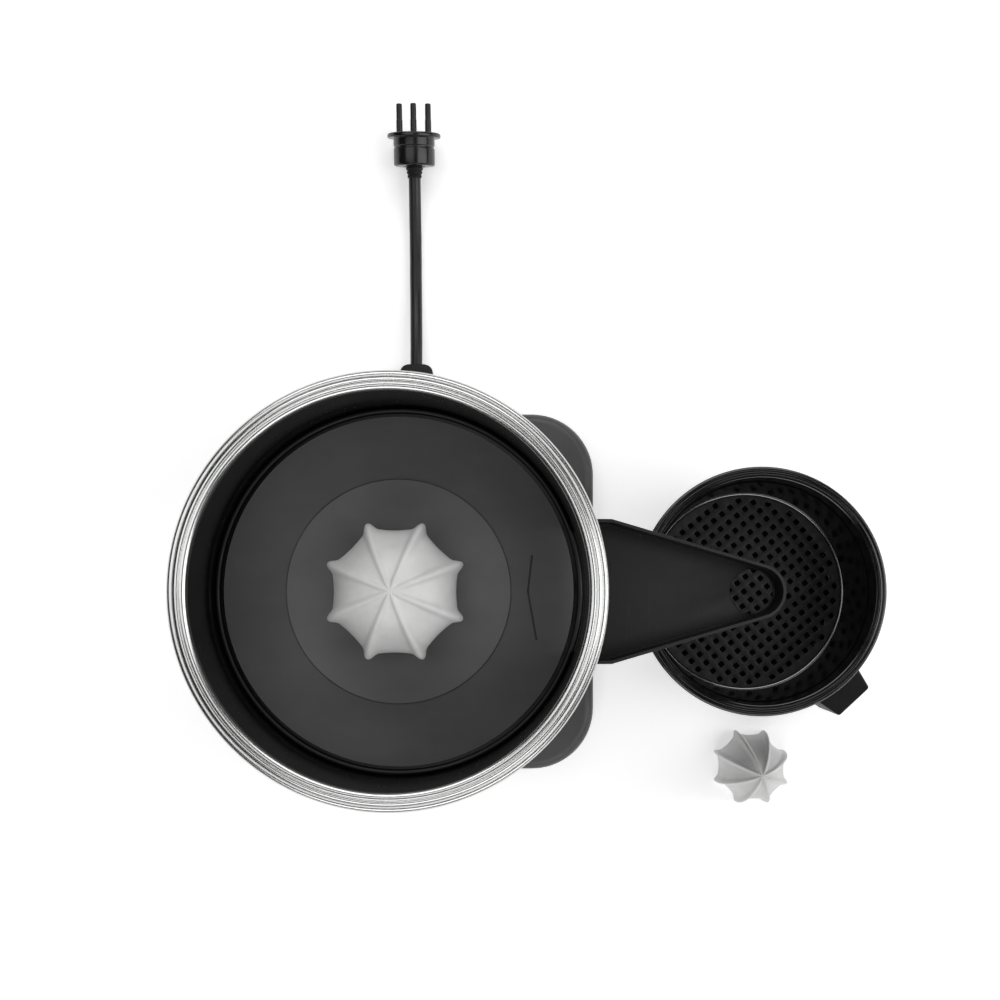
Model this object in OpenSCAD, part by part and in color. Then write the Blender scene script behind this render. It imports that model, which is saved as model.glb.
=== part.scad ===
// Electric citrus juicer: a driven reaming cone in a lift-off bowl, with a spout over a straining cup.
// Millimetres, +Z up. The origin is on the drive axis, on the table. The spout points along +X.

/* [Drum and plinth] */
// Outer radius of the steel drum
drum_r = 93; // [85:0.5:112]
// Wall of the steel drum
drum_wall = 1.5; // [1:0.1:2.5]
// Height of the whole machine, to the top of the rim
rim_top = 166; // [138:0.5:200]
// How far the flat sides of the plinth stand out beyond the drum
plinth_overhang = 2.8; // [1:0.1:8]
// Radius of the plinth's corners in plan
plinth_corner_r = 33; // [24:0.5:45]
// Height of the plinth's top above the table
plinth_top = 15; // [14:0.5:22]
// Rounding of the plinth's top edge
plinth_edge_r = 5; // [2:0.25:6]
// Wall of the plinth
plinth_wall = 2.5; // [2:0.1:3.5]

/* [Bowl] */
// Depth of the bowl from the rim to its floor
bowl_depth = 54; // [44:0.5:60]
// Wall of the bowl liner
bowl_wall = 2; // [1.6:0.1:2.6]
// Gap between the bowl liner and the drum
bowl_gap = 2.5; // [1.5:0.1:4]
// Radius of the raised disc in the middle of the bowl floor
centre_disc_r = 52.4; // [36:0.2:64]
// Height of the steel rim ring
rim_height = 6; // [4:0.25:8]

/* [Spout] */
// Distance from the drum to the middle of the outlet hole
spout_reach = 73.7; // [62:0.1:90]
// Half width of the spout where it leaves the drum
spout_root_half = 32.9; // [26:0.1:40]
// Outer radius of the rounded end of the spout
spout_tip_r = 12.8; // [10:0.1:18]
// Wall of the spout
spout_wall = 1.5; // [1.2:0.1:2.4]
// Height of the spout's side walls above its floor
spout_side = 22; // [12:0.5:26]
// Fall of the spout's floor towards the outlet, in degrees
spout_fall = 7; // [4:0.5:9]

/* [Reamers] */
// Radius of the large reamer over the ends of its ribs
reamer_r = 33.4; // [26:0.2:40]
// Height of the large reamer
reamer_height = 27; // [24:0.5:33]
// Radius of the small reamer over the ends of its ribs
small_r = 20.9; // [16:0.1:26]
// Height of the small reamer
small_height = 45; // [36:0.5:54]
// Thickness of a rib
rib_t = 2.4; // [1.6:0.1:3.2]

/* [Cup] */
// Outer radius of the cup at its rim
cup_r = 60.6; // [50:0.2:73]
// Wall of the cup
cup_wall_t = 2.2; // [1.6:0.1:3]
// Gap between the cup and the lowest point of the spout
cup_gap = 8.5; // [6:0.1:14]
// Height of the strainer's mesh above the table
mesh_z = 33; // [20:0.5:40]
// Spacing of the strainer's square holes
mesh_pitch = 5.55; // [4.6:0.05:6.6]
// Width of a square hole in the strainer
mesh_hole = 2.6; // [1.8:0.05:3.2]
// Width of the handle where it meets the cup
handle_w = 28; // [20:0.5:34]
// How far the handle stands out from the cup
handle_out = 16; // [10:0.5:24]

/* [Drive] */
// Radius of the drive shaft
shaft_r = 7; // [6:0.1:8.4]
// Running clearance of a shaft in its bearing, on the radius
run_gap = 0.05; // [0.02:0.01:0.09]
// Clearance on the radius of pieces that slip together by hand
slip_gap = 0.3; // [0.2:0.05:0.5]
// Travel of the spindle when a fruit is pressed on the cone
press_travel = 2.5; // [1.5:0.1:3]
// Tooth module of the second gear stage
output_module = 1.5; // [1.25:0.05:1.5]
// Tooth module of the first gear stage
motor_module = 1; // [0.9:0.05:1.2]

/* [Lead] */
// Diameter of the mains lead
cord_d = 6.5; // [5.5:0.1:7.5]
// Radius of the plug's body
plug_r = 11.1; // [10:0.1:12]
// Radius of the plug's flange
plug_flange_r = 14.3; // [13.5:0.1:16]
// Length of the plug's body
plug_len = 14.5; // [14:0.5:24]

/* [Hidden] */
$fn = 96;

// Small gaps between flat faces that lift off each other
seat_gap = 0.2;

// Base: the cover sits inside the plinth's skirt, and the foot ring in a groove under it
cover_z0 = 2;
cover_top = 5;
foot_r = drum_r - 13;
foot_half = 4;
foot_groove_z = 3.5;
plinth_half = drum_r + plinth_overhang;
skirt_half = plinth_half - plinth_wall;
skirt_corner_r = plinth_corner_r - plinth_wall;
cover_gap = 0.3;
vent_count = 16;
vent_w = 2.6;
vent_r = [26, 52];
screw_at = plinth_half - 22;
screw_r = 1.5;
screw_head_r = 3.4;
boss_r = 4.5;

// Bowl and rim, from the rim downwards
rim_r = drum_r + 2.5;
rim_z0 = rim_top - rim_height;
rim_skirt = 6;
drum_in_r = drum_r - drum_wall;
liner_r = drum_in_r - bowl_gap;
bowl_top_r = liner_r - bowl_wall;
bowl_low_r = bowl_top_r - 0.6;
bowl_floor_z = rim_top - bowl_depth;
disc_t = 2;
liner_floor_z = bowl_floor_z - disc_t;
liner_z0 = liner_floor_z - 2.5;
bead_minor = 1.45;
bead_r = bowl_low_r - bead_minor - 0.05;
floor_disc_r = bead_r - bead_minor - 1.6;
centre_disc_t = 0.8;
port_half = 28;
port_height = 15;
crease_x = 60.5;
crease_arms = [[17, 83.5], [23, -80]];
crease_w = 0.8;
crease_depth = 0.6;

// Spout: plan outline in x and y, floor falling along x
outlet_x = drum_r + spout_reach;
shoulder_x = drum_r + 5.5;
spout_end_x = outlet_x + spout_tip_r;
spout_run = outlet_x - shoulder_x;
spout_taper = acos(spout_tip_r / norm([spout_run, spout_root_half])) - atan2(spout_run, spout_root_half);
function spout_floor(x) = bowl_floor_z - (x - bowl_top_r) * tan(spout_fall);
outlet_r = spout_tip_r - spout_wall - 0.8;
notch_gap = 0.8;
notch_half = spout_root_half + notch_gap;
notch_z = spout_floor(drum_r) - spout_wall - notch_gap;

// Frame and gear train, downwards from the deck
deck_t = 3;
deck_top = bowl_floor_z - 8;
deck_z0 = deck_top - deck_t;
plate_t = 3;
plate_top = deck_z0 - 28;
plate_z0 = plate_top - plate_t;
plate_r = 80;
post_r = 4;
post_ring_r = 72;
post_angles = [20, 110, 200, 290];
pressure_angle = 20;
addendum = 0.75;
backlash = 0.16;
output_teeth = 48;
idler_pinion_teeth = 12;
idler_wheel_teeth = 40;
motor_pinion_teeth = 12;
output_distance = output_module * (output_teeth + idler_pinion_teeth) / 2;
motor_distance = motor_module * (idler_wheel_teeth + motor_pinion_teeth) / 2;
idler_at = [-output_distance, 0];
motor_angle = 108;
motor_at = idler_at + motor_distance * [cos(motor_angle), sin(motor_angle)];
wheel_z0 = plate_top + 3;
wheel_t = 7;
pinion_top = wheel_z0 + wheel_t + 12;
output_z0 = wheel_z0 + wheel_t + 2;
output_t = 9;
axle_r = 3;
bush_r = shaft_r + 3;

// Motor, hung below the gear plate
rotor_shaft_r = 2.5;
rotor_bush_r = 5;
rotor_r = 13;
air_gap = 0.5;
stack_top = plate_z0 - 8;
stack_h = 16;
stack_z0 = stack_top - stack_h;
stack_half = 20;
limb_x = [33, 45];
window_x = 19;
window_half = 14;
coil_half = 13;
coil_depth = 10;
coil_end = 6.5;
stud_at = 15.5;
stud_r = 1.6;
bracket_z0 = stack_z0 - 6;
bracket_t = 2;

// Drive shaft, push rod, spring and switch on the main axis
hex_shape = 2 / sqrt(3);
shaft_z0 = plate_z0 - 2;
dog_z0 = deck_top + 1;
dog_half = 6;
dog_top = deck_top + 10;
rod_r = 3.2;
rod_bore_r = rod_r + 0.5;
rod_top = dog_top + press_travel + 0.3;
foot_top = shaft_z0 - 2;
rod_foot_z = foot_top - 2;
rod_foot_r = 6.5;
tail_r = 1.8;
spring_len = 9;
spring_z0 = rod_foot_z - spring_len;
spring_r = 4.3;
spring_wire_r = 0.55;
spring_turns = 5;
switch_top = spring_z0 - 7;
switch_h = 12;
switch_y = [-13, 7];
switch_half = 5;
tail_z0 = switch_top + press_travel + 0.3;

// Sleeve, spindle and large reamer, carried by the bowl
sleeve_r = 9;
chimney_r = sleeve_r + 4;
chimney_top = bowl_floor_z + 15;
sleeve_z0 = dog_z0 + 0.7;
sleeve_flange_z = chimney_top + seat_gap;
sleeve_top = sleeve_flange_z + 1.3;
sleeve_flange_r = chimney_r - 1;
clip_z = [liner_z0 - 1.3, liner_z0 - 0.3];
clip_groove_r = sleeve_r - 0.6;
clip_r = sleeve_r + 2.5;
spindle_half = 5;
spindle_z0 = rod_top + seat_gap;
socket_z1 = spindle_z0 - 1;
reamer_z0 = bowl_floor_z + 17;
reamer_top = reamer_z0 + reamer_height;
spindle_top = reamer_top - 6;
valley_r = reamer_r - 5;
reamer_shell = 2.4;
rib_stand = 1;
hub_r = 8.5;
hub_z0 = sleeve_top + press_travel + 0.4;

// Cup and strainer
cup_offset = 7.2;
cup_x = outlet_x + cup_offset;
cup_h = spout_floor(spout_end_x) - spout_wall - cup_gap;
flange_t = 1.5;
cup_wall_top = cup_h - flange_t;
cup_side_r = cup_r - 1.2;
cup_base_r = cup_r - 4.6;
cup_floor_t = 3;
cup_lip_h = 2;
basket_wall = 1.6;
basket_gap = 0.6;
basket_top_r = cup_side_r - cup_wall_t - basket_gap;
basket_low_r = basket_top_r - 3.6;
mesh_t = 1;
mesh_r = basket_low_r - basket_wall - 0.8;
mesh_field_r = mesh_r - 3;
mesh_angle = 39;
rim_inner_r = mesh_r - 1.6;
handle_angle = -47;
handle_end_w = handle_w * 0.75;
handle_z = [14, 58];
small_at = [cup_x + 8.1, -(cup_r + 13.9 + small_r)];
small_valley_r = small_r - 3.4;
small_shell = 2;
small_hub_r = 7.6;

// Lead: hand-laid route, with heights counted from a cord that lies on the table
lay = [
    [0, 123, 4.3], [0, 129, 4.2], [0, 135, 3.8], [-0.1, 141, 3.1], [-0.2, 147, 2.15], [-0.3, 153, 1.2],
    [-0.4, 159, 0.5], [-0.5, 165, 0.1], [-0.6, 172, 0], [-0.6, 180, 0], [-0.7, 187, 0], [-0.7, 193, 0.2],
    [-0.8, 199, 0.9], [-0.8, 205, 2], [-0.8, 211, 3.3], [-0.8, 217.5, 4.75], [-0.8, 224, 6.2]
];
route = [for (p = lay) p + [0, 0, cord_d / 2 + 0.05]];
cord_exit = route[0];
cord_end = route[len(route) - 1];
gland_w = 18;
gland_h = 7.4;
gland_root_w = 22;
gland_neck_w = 14;
gland_neck_h = 5;
gland_tip = 4.5;
plug_boot_len = 6;
plug_flange_t = 2.4;
plug_tilt = atan((plug_flange_r - plug_r) / plug_len);
plug_at = [cord_end[0], cord_end[1] + plug_boot_len * cos(plug_tilt), plug_r * cos(plug_tilt)];
pin_r = 1.7;
pin_spacing = 7.7;
pin_len = 15.5;
pin_rise = 2;
terminal_y = [plinth_half - 38, plinth_half - 28];
terminal_half = 12;
terminal_h = 10;
wire_r = 1.1;

// ---------- shared shapes ----------

function unit(v) = v / norm(v);
function polar(r, a) = r * [cos(a), sin(a)];
function reversed(list) = [for (i = [len(list) - 1 : -1 : 0]) list[i]];

// Quarter ellipse from the base edge to the top, as points in r and z
function dome_points(r, h) = [for (i = [0 : 12]) [r * cos(i * 7.5), h * sin(i * 7.5)]];

function involute_deg(a) = tan(a) * 180 / PI - a;

// Half the angle that a tooth covers at radius r
function tooth_half(pitch_r, teeth, r) =
    let (base_r = pitch_r * cos(pressure_angle))
    90 / teeth - backlash / pitch_r * 90 / PI + involute_deg(pressure_angle)
    - involute_deg(acos(min(1, base_r / r)));

function gear_points(m, teeth) =
    let (pitch_r = m * teeth / 2)
    let (base_r = pitch_r * cos(pressure_angle))
    let (root_r = pitch_r - m)
    let (low_r = max(base_r, root_r))
    let (flank = [for (i = [0 : 3]) low_r + (pitch_r + addendum * m - low_r) * i / 3])
    let (radii = root_r < base_r ? concat([root_r], flank) : flank)
    [for (k = [0 : teeth - 1])
        each concat(
            [for (r = radii) polar(r, k * 360 / teeth - tooth_half(pitch_r, teeth, max(r, base_r)))],
            [for (r = reversed(radii)) polar(r, k * 360 / teeth + tooth_half(pitch_r, teeth, max(r, base_r)))]
        )];

// Round tube swept along a list of points that run mostly level
module sweep(path, r, sides) {
    last = len(path) - 1;
    points = [for (i = [0 : last])
        let (t = unit(path[min(i + 1, last)] - path[max(i - 1, 0)]))
        let (side = unit(cross(t, [0, 0, 1])))
        let (up = cross(side, t))
        for (j = [0 : sides - 1])
            path[i] + r * (cos(j * 360 / sides) * side + sin(j * 360 / sides) * up)];
    walls = [for (i = [0 : last - 1], j = [0 : sides - 1])
        let (k = (j + 1) % sides)
        [i * sides + j, i * sides + k, (i + 1) * sides + k, (i + 1) * sides + j]];
    start = [for (j = [sides - 1 : -1 : 0]) j];
    end = [for (j = [0 : sides - 1]) last * sides + j];
    polyhedron(points, concat(walls, [start, end]));
}

module ring(inner, outer, h) {
    difference() {
        cylinder(r = outer, h = h);
        translate([0, 0, -1])
            cylinder(r = inner, h = h + 2);
    }
}

module hex_bar(half, h) {
    cylinder(r = half * hex_shape, h = h, $fn = 6);
}

module corners(at) {
    for (sx = [-1, 1], sy = [-1, 1])
        translate([sx * at, sy * at])
            children();
}

module rounded_square(half, corner_r) {
    square([2 * half, 2 * (half - corner_r)], center = true);
    square([2 * (half - corner_r), 2 * half], center = true);
    corners(half - corner_r)
        circle(corner_r);
}

// Half of a cross-section whose outer top edge is rounded
module edge_profile(r, h, edge_r) {
    square([r, h - edge_r]);
    square([r - edge_r, h]);
    translate([r - edge_r, h - edge_r])
        circle(edge_r);
}

module rounded_slab(half, corner_r, h, edge_r) {
    corners(half - corner_r)
        rotate_extrude()
            intersection() {
                edge_profile(corner_r, h, edge_r);
                square([corner_r, h]);
            }
    for (a = [0 : 90 : 270])
        rotate([0, 0, a])
            rotate([90, 0, 0])
                linear_extrude(2 * (half - corner_r), center = true)
                    edge_profile(half, h, edge_r);
}

// Capsule-shaped slice, w wide and h high, t long along +Y
module oval(w, h, t) {
    rotate([90, 0, 0])
        translate([0, 0, -t])
            linear_extrude(t) {
                square([w - h, h], center = true);
                for (s = [-1, 1])
                    translate([s * (w - h) / 2, 0])
                        circle(h / 2);
            }
}

module gear(m, teeth, h) {
    linear_extrude(h)
        polygon(gear_points(m, teeth));
}

module rod_between(a, b, r) {
    v = b - a;
    translate(a)
        rotate([0, acos(v[2] / norm(v)), atan2(v[1], v[0])])
            cylinder(r = r, h = norm(v));
}

module wire(path, r) {
    for (i = [1 : len(path) - 1])
        rod_between(path[i - 1], path[i], r);
    for (i = [1 : len(path) - 2])
        translate(path[i])
            sphere(r);
}

module posts(z0, z1) {
    for (a = post_angles)
        rotate([0, 0, a])
            translate([post_ring_r, 0, z0])
                cylinder(r = post_r, h = z1 - z0);
}

module at_idler() {
    translate([idler_at[0], idler_at[1], 0])
        children();
}

module at_motor() {
    translate([motor_at[0], motor_at[1], 0])
        children();
}

module at_cup() {
    translate([cup_x, 0, 0])
        children();
}

module at_plug() {
    translate(plug_at)
        rotate([plug_tilt, 0, 0])
            rotate([-90, 0, 0])
                children();
}

// ---------- base and casing ----------

module foot_ring() {
    color("#161616")
        ring(foot_r - foot_half, foot_r + foot_half, foot_groove_z);
}

module bottom_cover() {
    color("#3a3a3b")
        difference() {
            translate([0, 0, cover_z0])
                linear_extrude(cover_top - cover_z0)
                    rounded_square(skirt_half - cover_gap, skirt_corner_r - cover_gap);
            translate([0, 0, cover_z0 - 1])
                ring(foot_r - foot_half - 0.1, foot_r + foot_half + 0.1, foot_groove_z - cover_z0 + 1);
            corners(screw_at) {
                cylinder(r = screw_r + 0.2, h = cover_top + 1);
                cylinder(r = screw_head_r + 0.2, h = cover_z0 + 1.6);
            }
            for (k = [0 : vent_count - 1])
                rotate([0, 0, (k + 0.5) * 360 / vent_count])
                    translate([vent_r[0], -vent_w / 2, cover_z0 - 1])
                        cube([vent_r[1] - vent_r[0], vent_w, cover_top - cover_z0 + 2]);
        }
}

module cover_screws() {
    color("#9a9a9a")
        corners(screw_at) {
            translate([0, 0, cover_z0])
                difference() {
                    cylinder(r = screw_head_r, h = 1.6);
                    translate([-screw_head_r, -0.4, -1])
                        cube([2 * screw_head_r, 0.8, 1.8]);
                }
            translate([0, 0, cover_z0 + 1])
                cylinder(r = screw_r, h = plinth_top - plinth_wall - cover_z0 - 2);
        }
}

module plinth_shell() {
    color("#38383a") {
        difference() {
            translate([0, 0, cover_z0])
                rounded_slab(plinth_half, plinth_corner_r, plinth_top - cover_z0, plinth_edge_r);
            translate([0, 0, cover_z0 - 1])
                linear_extrude(plinth_top - plinth_wall - cover_z0 + 1)
                    rounded_square(skirt_half, skirt_corner_r);
            cylinder(r = drum_r - 10, h = plinth_top + 1);
            translate([0, skirt_half - 1, cord_exit[2]])
                oval(gland_neck_w + 0.2, gland_neck_h + 0.2, plinth_wall + 2);
        }
        corners(screw_at)
            translate([0, 0, cover_top])
                ring(screw_r + 0.1, boss_r, plinth_top - plinth_wall - cover_top);
    }
}

module drum_shell() {
    color("#b9babb")
        difference() {
            union() {
                translate([0, 0, plinth_top])
                    ring(drum_in_r, drum_r, rim_z0 - seat_gap - plinth_top);
                translate([0, 0, plinth_top])
                    ring(drum_r - 10, drum_in_r + 0.5, 1.5);
            }
            translate([0, -notch_half, notch_z])
                cube([drum_r + 10, 2 * notch_half, rim_z0]);
        }
}

// ---------- frame ----------

module lower_posts() {
    color("#8d8f91")
        posts(cover_top, plate_z0);
}

module upper_posts() {
    color("#8d8f91")
        posts(plate_top, deck_z0);
}

module gear_plate() {
    color("#a3a5a7")
        translate([0, 0, plate_z0])
            difference() {
                cylinder(r = plate_r, h = plate_t);
                translate([0, 0, -1]) {
                    cylinder(r = bush_r, h = plate_t + 2);
                    at_idler()
                        cylinder(r = axle_r, h = plate_t + 2);
                    at_motor()
                        cylinder(r = rotor_bush_r, h = plate_t + 2);
                }
            }
}

module top_deck() {
    color("#2a2a2b")
        difference() {
            translate([0, 0, deck_z0])
                cylinder(r = drum_in_r - 0.1, h = deck_t);
            cylinder(r = bush_r, h = deck_top + 1);
        }
}

module flanged_bush(outer, bore, z0, z1, flange_z, flange_t) {
    translate([0, 0, z0])
        ring(bore, outer, z1 - z0);
    translate([0, 0, flange_z])
        ring(bore, outer + 2, flange_t);
}

module deck_bearing() {
    color("#b08d57")
        flanged_bush(bush_r, shaft_r + run_gap, deck_z0 - 1.5, deck_top, deck_z0 - 1.5, 1.5);
}

module plate_bush() {
    color("#b08d57")
        flanged_bush(bush_r, shaft_r + run_gap, plate_z0 - 1, plate_top + 1.5, plate_top, 1.5);
}

module shaft_seal() {
    color("#111111")
        translate([0, 0, deck_top])
            ring(shaft_r + 0.1, bush_r + 2, 0.9);
}

// ---------- motor ----------

module stator_stack() {
    color("#7d8083")
        at_motor()
            translate([0, 0, stack_z0])
                difference() {
                    translate([-stack_half, -stack_half, 0])
                        cube([stack_half + limb_x[1], 2 * stack_half, stack_h]);
                    translate([0, 0, -1])
                        cylinder(r = rotor_r + air_gap, h = stack_h + 2);
                    translate([window_x, -window_half, -1])
                        cube([limb_x[0] - window_x, 2 * window_half, stack_h + 2]);
                    corners(stud_at)
                        translate([0, 0, -1])
                            cylinder(r = stud_r + 0.2, h = stack_h + 2);
                }
}

module stator_coil() {
    color("#a8592b")
        at_motor()
            difference() {
                translate([limb_x[0] - coil_depth, -coil_half, stack_z0 - coil_end])
                    cube([limb_x[1] - limb_x[0] + 2 * coil_depth, 2 * coil_half, stack_h + 2 * coil_end]);
                translate([limb_x[0], -coil_half - 1, stack_z0])
                    cube([limb_x[1] - limb_x[0], 2 * coil_half + 2, stack_h]);
            }
}

module motor_bracket() {
    color("#9b9d9f")
        at_motor()
            translate([0, 0, bracket_z0])
                difference() {
                    translate([-stack_half + 1, -stack_half + 1, 0])
                        cube([2 * stack_half - 2, 2 * stack_half - 2, bracket_t]);
                    translate([0, 0, -1])
                        cylinder(r = rotor_bush_r, h = bracket_t + 2);
                    corners(stud_at)
                        translate([0, 0, -1])
                            cylinder(r = stud_r + 0.2, h = bracket_t + 2);
                }
}

module motor_studs() {
    color("#c0c2c4")
        at_motor()
            corners(stud_at) {
                translate([0, 0, bracket_z0 - 2.5]) {
                    cylinder(r = stud_r, h = plate_z0 - bracket_z0 + 2.5);
                    cylinder(r = 3.2, h = 2.5, $fn = 6);
                }
                translate([0, 0, bracket_z0 + bracket_t])
                    cylinder(r = 3, h = stack_z0 - bracket_z0 - bracket_t);
                translate([0, 0, stack_top])
                    cylinder(r = 3, h = plate_z0 - stack_top);
            }
}

module rotor_bushes() {
    color("#b08d57")
        at_motor() {
            translate([0, 0, bracket_z0 - 1])
                ring(rotor_shaft_r + run_gap, rotor_bush_r, bracket_t + 2);
            translate([0, 0, plate_z0 - 0.5])
                ring(rotor_shaft_r + run_gap, rotor_bush_r, plate_t + 1);
        }
}

module rotor_core() {
    color("#6e7073")
        at_motor()
            translate([0, 0, stack_z0])
                ring(rotor_shaft_r, rotor_r, stack_h);
}

module rotor_shaft() {
    color("#c8cacc")
        at_motor()
            translate([0, 0, bracket_z0 - 2])
                cylinder(r = rotor_shaft_r, h = wheel_z0 + wheel_t + 2 - bracket_z0 + 2);
}

module motor_pinion() {
    color("#d8c27a")
        at_motor()
            translate([0, 0, wheel_z0 - 1])
                rotate([0, 0, motor_angle + 180 + 180 / motor_pinion_teeth])
                    difference() {
                        gear(motor_module, motor_pinion_teeth, wheel_t + 2);
                        translate([0, 0, -1])
                            cylinder(r = rotor_shaft_r, h = wheel_t + 4);
                    }
}

// ---------- gears and drive ----------

module idler_axle() {
    color("#c8cacc")
        at_idler()
            translate([0, 0, plate_z0])
                cylinder(r = axle_r, h = deck_z0 - plate_z0);
}

module idler_gear() {
    color("#a3a5a7")
        at_idler()
            difference() {
                union() {
                    translate([0, 0, wheel_z0])
                        rotate([0, 0, motor_angle])
                            gear(motor_module, idler_wheel_teeth, wheel_t);
                    translate([0, 0, wheel_z0 + wheel_t])
                        rotate([0, 0, 180 / idler_pinion_teeth])
                            gear(output_module, idler_pinion_teeth, pinion_top - wheel_z0 - wheel_t);
                }
                translate([0, 0, wheel_z0 - 1])
                    cylinder(r = axle_r + run_gap, h = pinion_top - wheel_z0 + 2);
            }
}

module output_gear() {
    color("#e4e0d2")
        translate([0, 0, output_z0])
            difference() {
                gear(output_module, output_teeth, output_t);
                translate([0, 0, -1])
                    cylinder(r = shaft_r, h = output_t + 2);
                for (a = [0 : 60 : 300])
                    rotate([0, 0, a])
                        translate([21, 0, -1])
                            cylinder(r = 7, h = output_t + 2);
            }
}

module drive_shaft() {
    color("#c8cacc")
        difference() {
            union() {
                translate([0, 0, shaft_z0])
                    cylinder(r = shaft_r, h = dog_z0 - shaft_z0);
                translate([0, 0, dog_z0])
                    hex_bar(dog_half, dog_top - dog_z0);
            }
            translate([0, 0, shaft_z0 - 1])
                cylinder(r = rod_bore_r, h = dog_top - shaft_z0 + 2);
        }
}

module push_rod() {
    color("#e8e8e8") {
        translate([0, 0, rod_foot_z])
            cylinder(r = rod_r, h = rod_top - rod_foot_z);
        translate([0, 0, rod_foot_z])
            cylinder(r = rod_foot_r, h = foot_top - rod_foot_z);
        translate([0, 0, tail_z0])
            cylinder(r = tail_r, h = rod_foot_z - tail_z0);
    }
}

module return_spring() {
    steps = spring_turns * 12;
    rise = spring_len - 2 * spring_wire_r - 0.2;
    color("#c8cacc")
        translate([0, 0, spring_z0 + spring_wire_r + 0.1])
            sweep(
                [for (i = [0 : steps])
                    [spring_r * cos(i * 30), spring_r * sin(i * 30), rise * i / steps]],
                spring_wire_r, 6
            );
}

module switch_body() {
    color("#1e1e1f")
        translate([-switch_half, switch_y[0], switch_top - switch_h])
            cube([2 * switch_half, switch_y[1] - switch_y[0], switch_h]);
}

module switch_bracket() {
    color("#9b9d9f")
        difference() {
            union() {
                translate([-6, -30, spring_z0 - 2])
                    cube([12, 37, 2]);
                translate([-6, -30, spring_z0 - 2])
                    cube([12, 2, plate_z0 - spring_z0 + 2]);
                translate([-switch_half, switch_y[0] - 2, switch_top - 8])
                    cube([2 * switch_half, 2, spring_z0 - 2 - switch_top + 8]);
            }
            translate([0, 0, spring_z0 - 3])
                cylinder(r = tail_r + 0.5, h = 4);
        }
}

// ---------- wiring and lead ----------

module terminal_block() {
    color("#e9e6dc")
        difference() {
            translate([-terminal_half, terminal_y[0], cover_top])
                cube([2 * terminal_half, terminal_y[1] - terminal_y[0], terminal_h]);
            for (s = [-1, 0, 1])
                translate([s * 7.5, (terminal_y[0] + terminal_y[1]) / 2, cover_top + terminal_h - 4])
                    cylinder(r = 1.8, h = 5);
        }
}

module wire_leads() {
    y = terminal_y[0] + 2;
    z = cover_top + terminal_h;
    coil_face = motor_at[1] + coil_half;
    color("#7a4a2a") {
        wire([[-4, y, z], [-4, y, stack_z0 + 4], [-4, coil_face, stack_z0 + 4]], wire_r);
        wire([[4, y, z], [4, y, switch_top - 6], [4, switch_y[1], switch_top - 6]], wire_r);
    }
}

module cord_tail() {
    color("#1a1a1a")
        translate([0, terminal_y[1], cord_exit[2]])
            rotate([-90, 0, 0])
                cylinder(r = 2.4, h = skirt_half - 3 - terminal_y[1]);
}

module cord_gland() {
    body_end = cord_exit[1] - gland_tip;
    color("#1d1d1e")
        translate([0, 0, cord_exit[2]]) {
            translate([0, skirt_half - 3, 0])
                oval(gland_neck_w + 6, gland_neck_h, 3);
            translate([0, skirt_half - 0.5, 0])
                oval(gland_neck_w, gland_neck_h, plinth_wall + 1);
            hull($fn = 32) {
                translate([0, plinth_half, 0])
                    oval(gland_root_w, gland_h, 1, $fn = 32);
                translate([0, body_end - 0.5, 0])
                    oval(gland_w, gland_h, 0.5, $fn = 32);
            }
            hull($fn = 32) {
                translate([0, body_end - 0.5, 0])
                    oval(gland_w, gland_h, 0.5, $fn = 32);
                translate([0, cord_exit[1] - 1.5, 0])
                    oval(gland_w - 5, gland_h - 0.2, 0.5, $fn = 32);
                translate([0, cord_exit[1] - 0.5, 0])
                    oval(gland_w - 8, gland_h - 0.4, 0.5, $fn = 32);
            }
        }
}

module power_cord() {
    color("#141414")
        sweep(route, cord_d / 2, 12);
}

module plug_boot() {
    color("#1b1b1b")
        at_plug()
            translate([0, 0, -plug_boot_len])
                cylinder(r1 = cord_d / 2 + 0.3, r2 = 4.7, h = plug_boot_len);
}

module plug_body() {
    color("#111112")
        at_plug() {
            rotate_extrude()
                intersection() {
                    square([plug_r, plug_len]);
                    union() {
                        square([plug_r - 1.2, plug_len]);
                        translate([0, 1.2])
                            square([plug_r, plug_len]);
                        translate([plug_r - 1.2, 1.2])
                            circle(1.2);
                    }
                }
            translate([0, 0, plug_len])
                cylinder(r = plug_flange_r, h = plug_flange_t);
        }
}

module plug_pins() {
    color("#2a2a2b")
        at_plug()
            for (s = [-1, 0, 1])
                translate([s * pin_spacing, s == 0 ? -pin_rise : 0, plug_len + plug_flange_t]) {
                    cylinder(r = pin_r, h = pin_len - pin_r);
                    translate([0, 0, pin_len - pin_r])
                        sphere(pin_r);
                }
}

// ---------- bowl ----------

module bowl_liner() {
    color("#0c0c0d")
        difference() {
            rotate_extrude()
                polygon([
                    [sleeve_r + run_gap, liner_z0], [liner_r, liner_z0], [liner_r, rim_z0], [bowl_top_r, rim_z0],
                    [bowl_low_r, liner_floor_z], [chimney_r, liner_floor_z], [chimney_r, chimney_top],
                    [sleeve_r + run_gap, chimney_top]
                ]);
            translate([0, -port_half, bowl_floor_z])
                cube([drum_r, 2 * port_half, port_height]);
        }
}

module bead_ring() {
    color("#101011")
        translate([0, 0, liner_floor_z + bead_minor])
            rotate_extrude()
                translate([bead_r, 0])
                    circle(bead_minor);
}

module floor_disc() {
    color("#4a4a4b")
        difference() {
            translate([0, 0, liner_floor_z])
                ring(chimney_r + 0.1, floor_disc_r, disc_t);
            for (arm = crease_arms)
                translate([crease_x, 0, bowl_floor_z - crease_depth])
                    rotate([0, 0, arm[1]])
                        translate([0, -crease_w / 2, 0])
                            cube([arm[0], crease_w, 1]);
        }
}

module centre_disc() {
    color("#4f4f50")
        translate([0, 0, bowl_floor_z])
            ring(chimney_r + 0.1, centre_disc_r, centre_disc_t);
}

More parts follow.
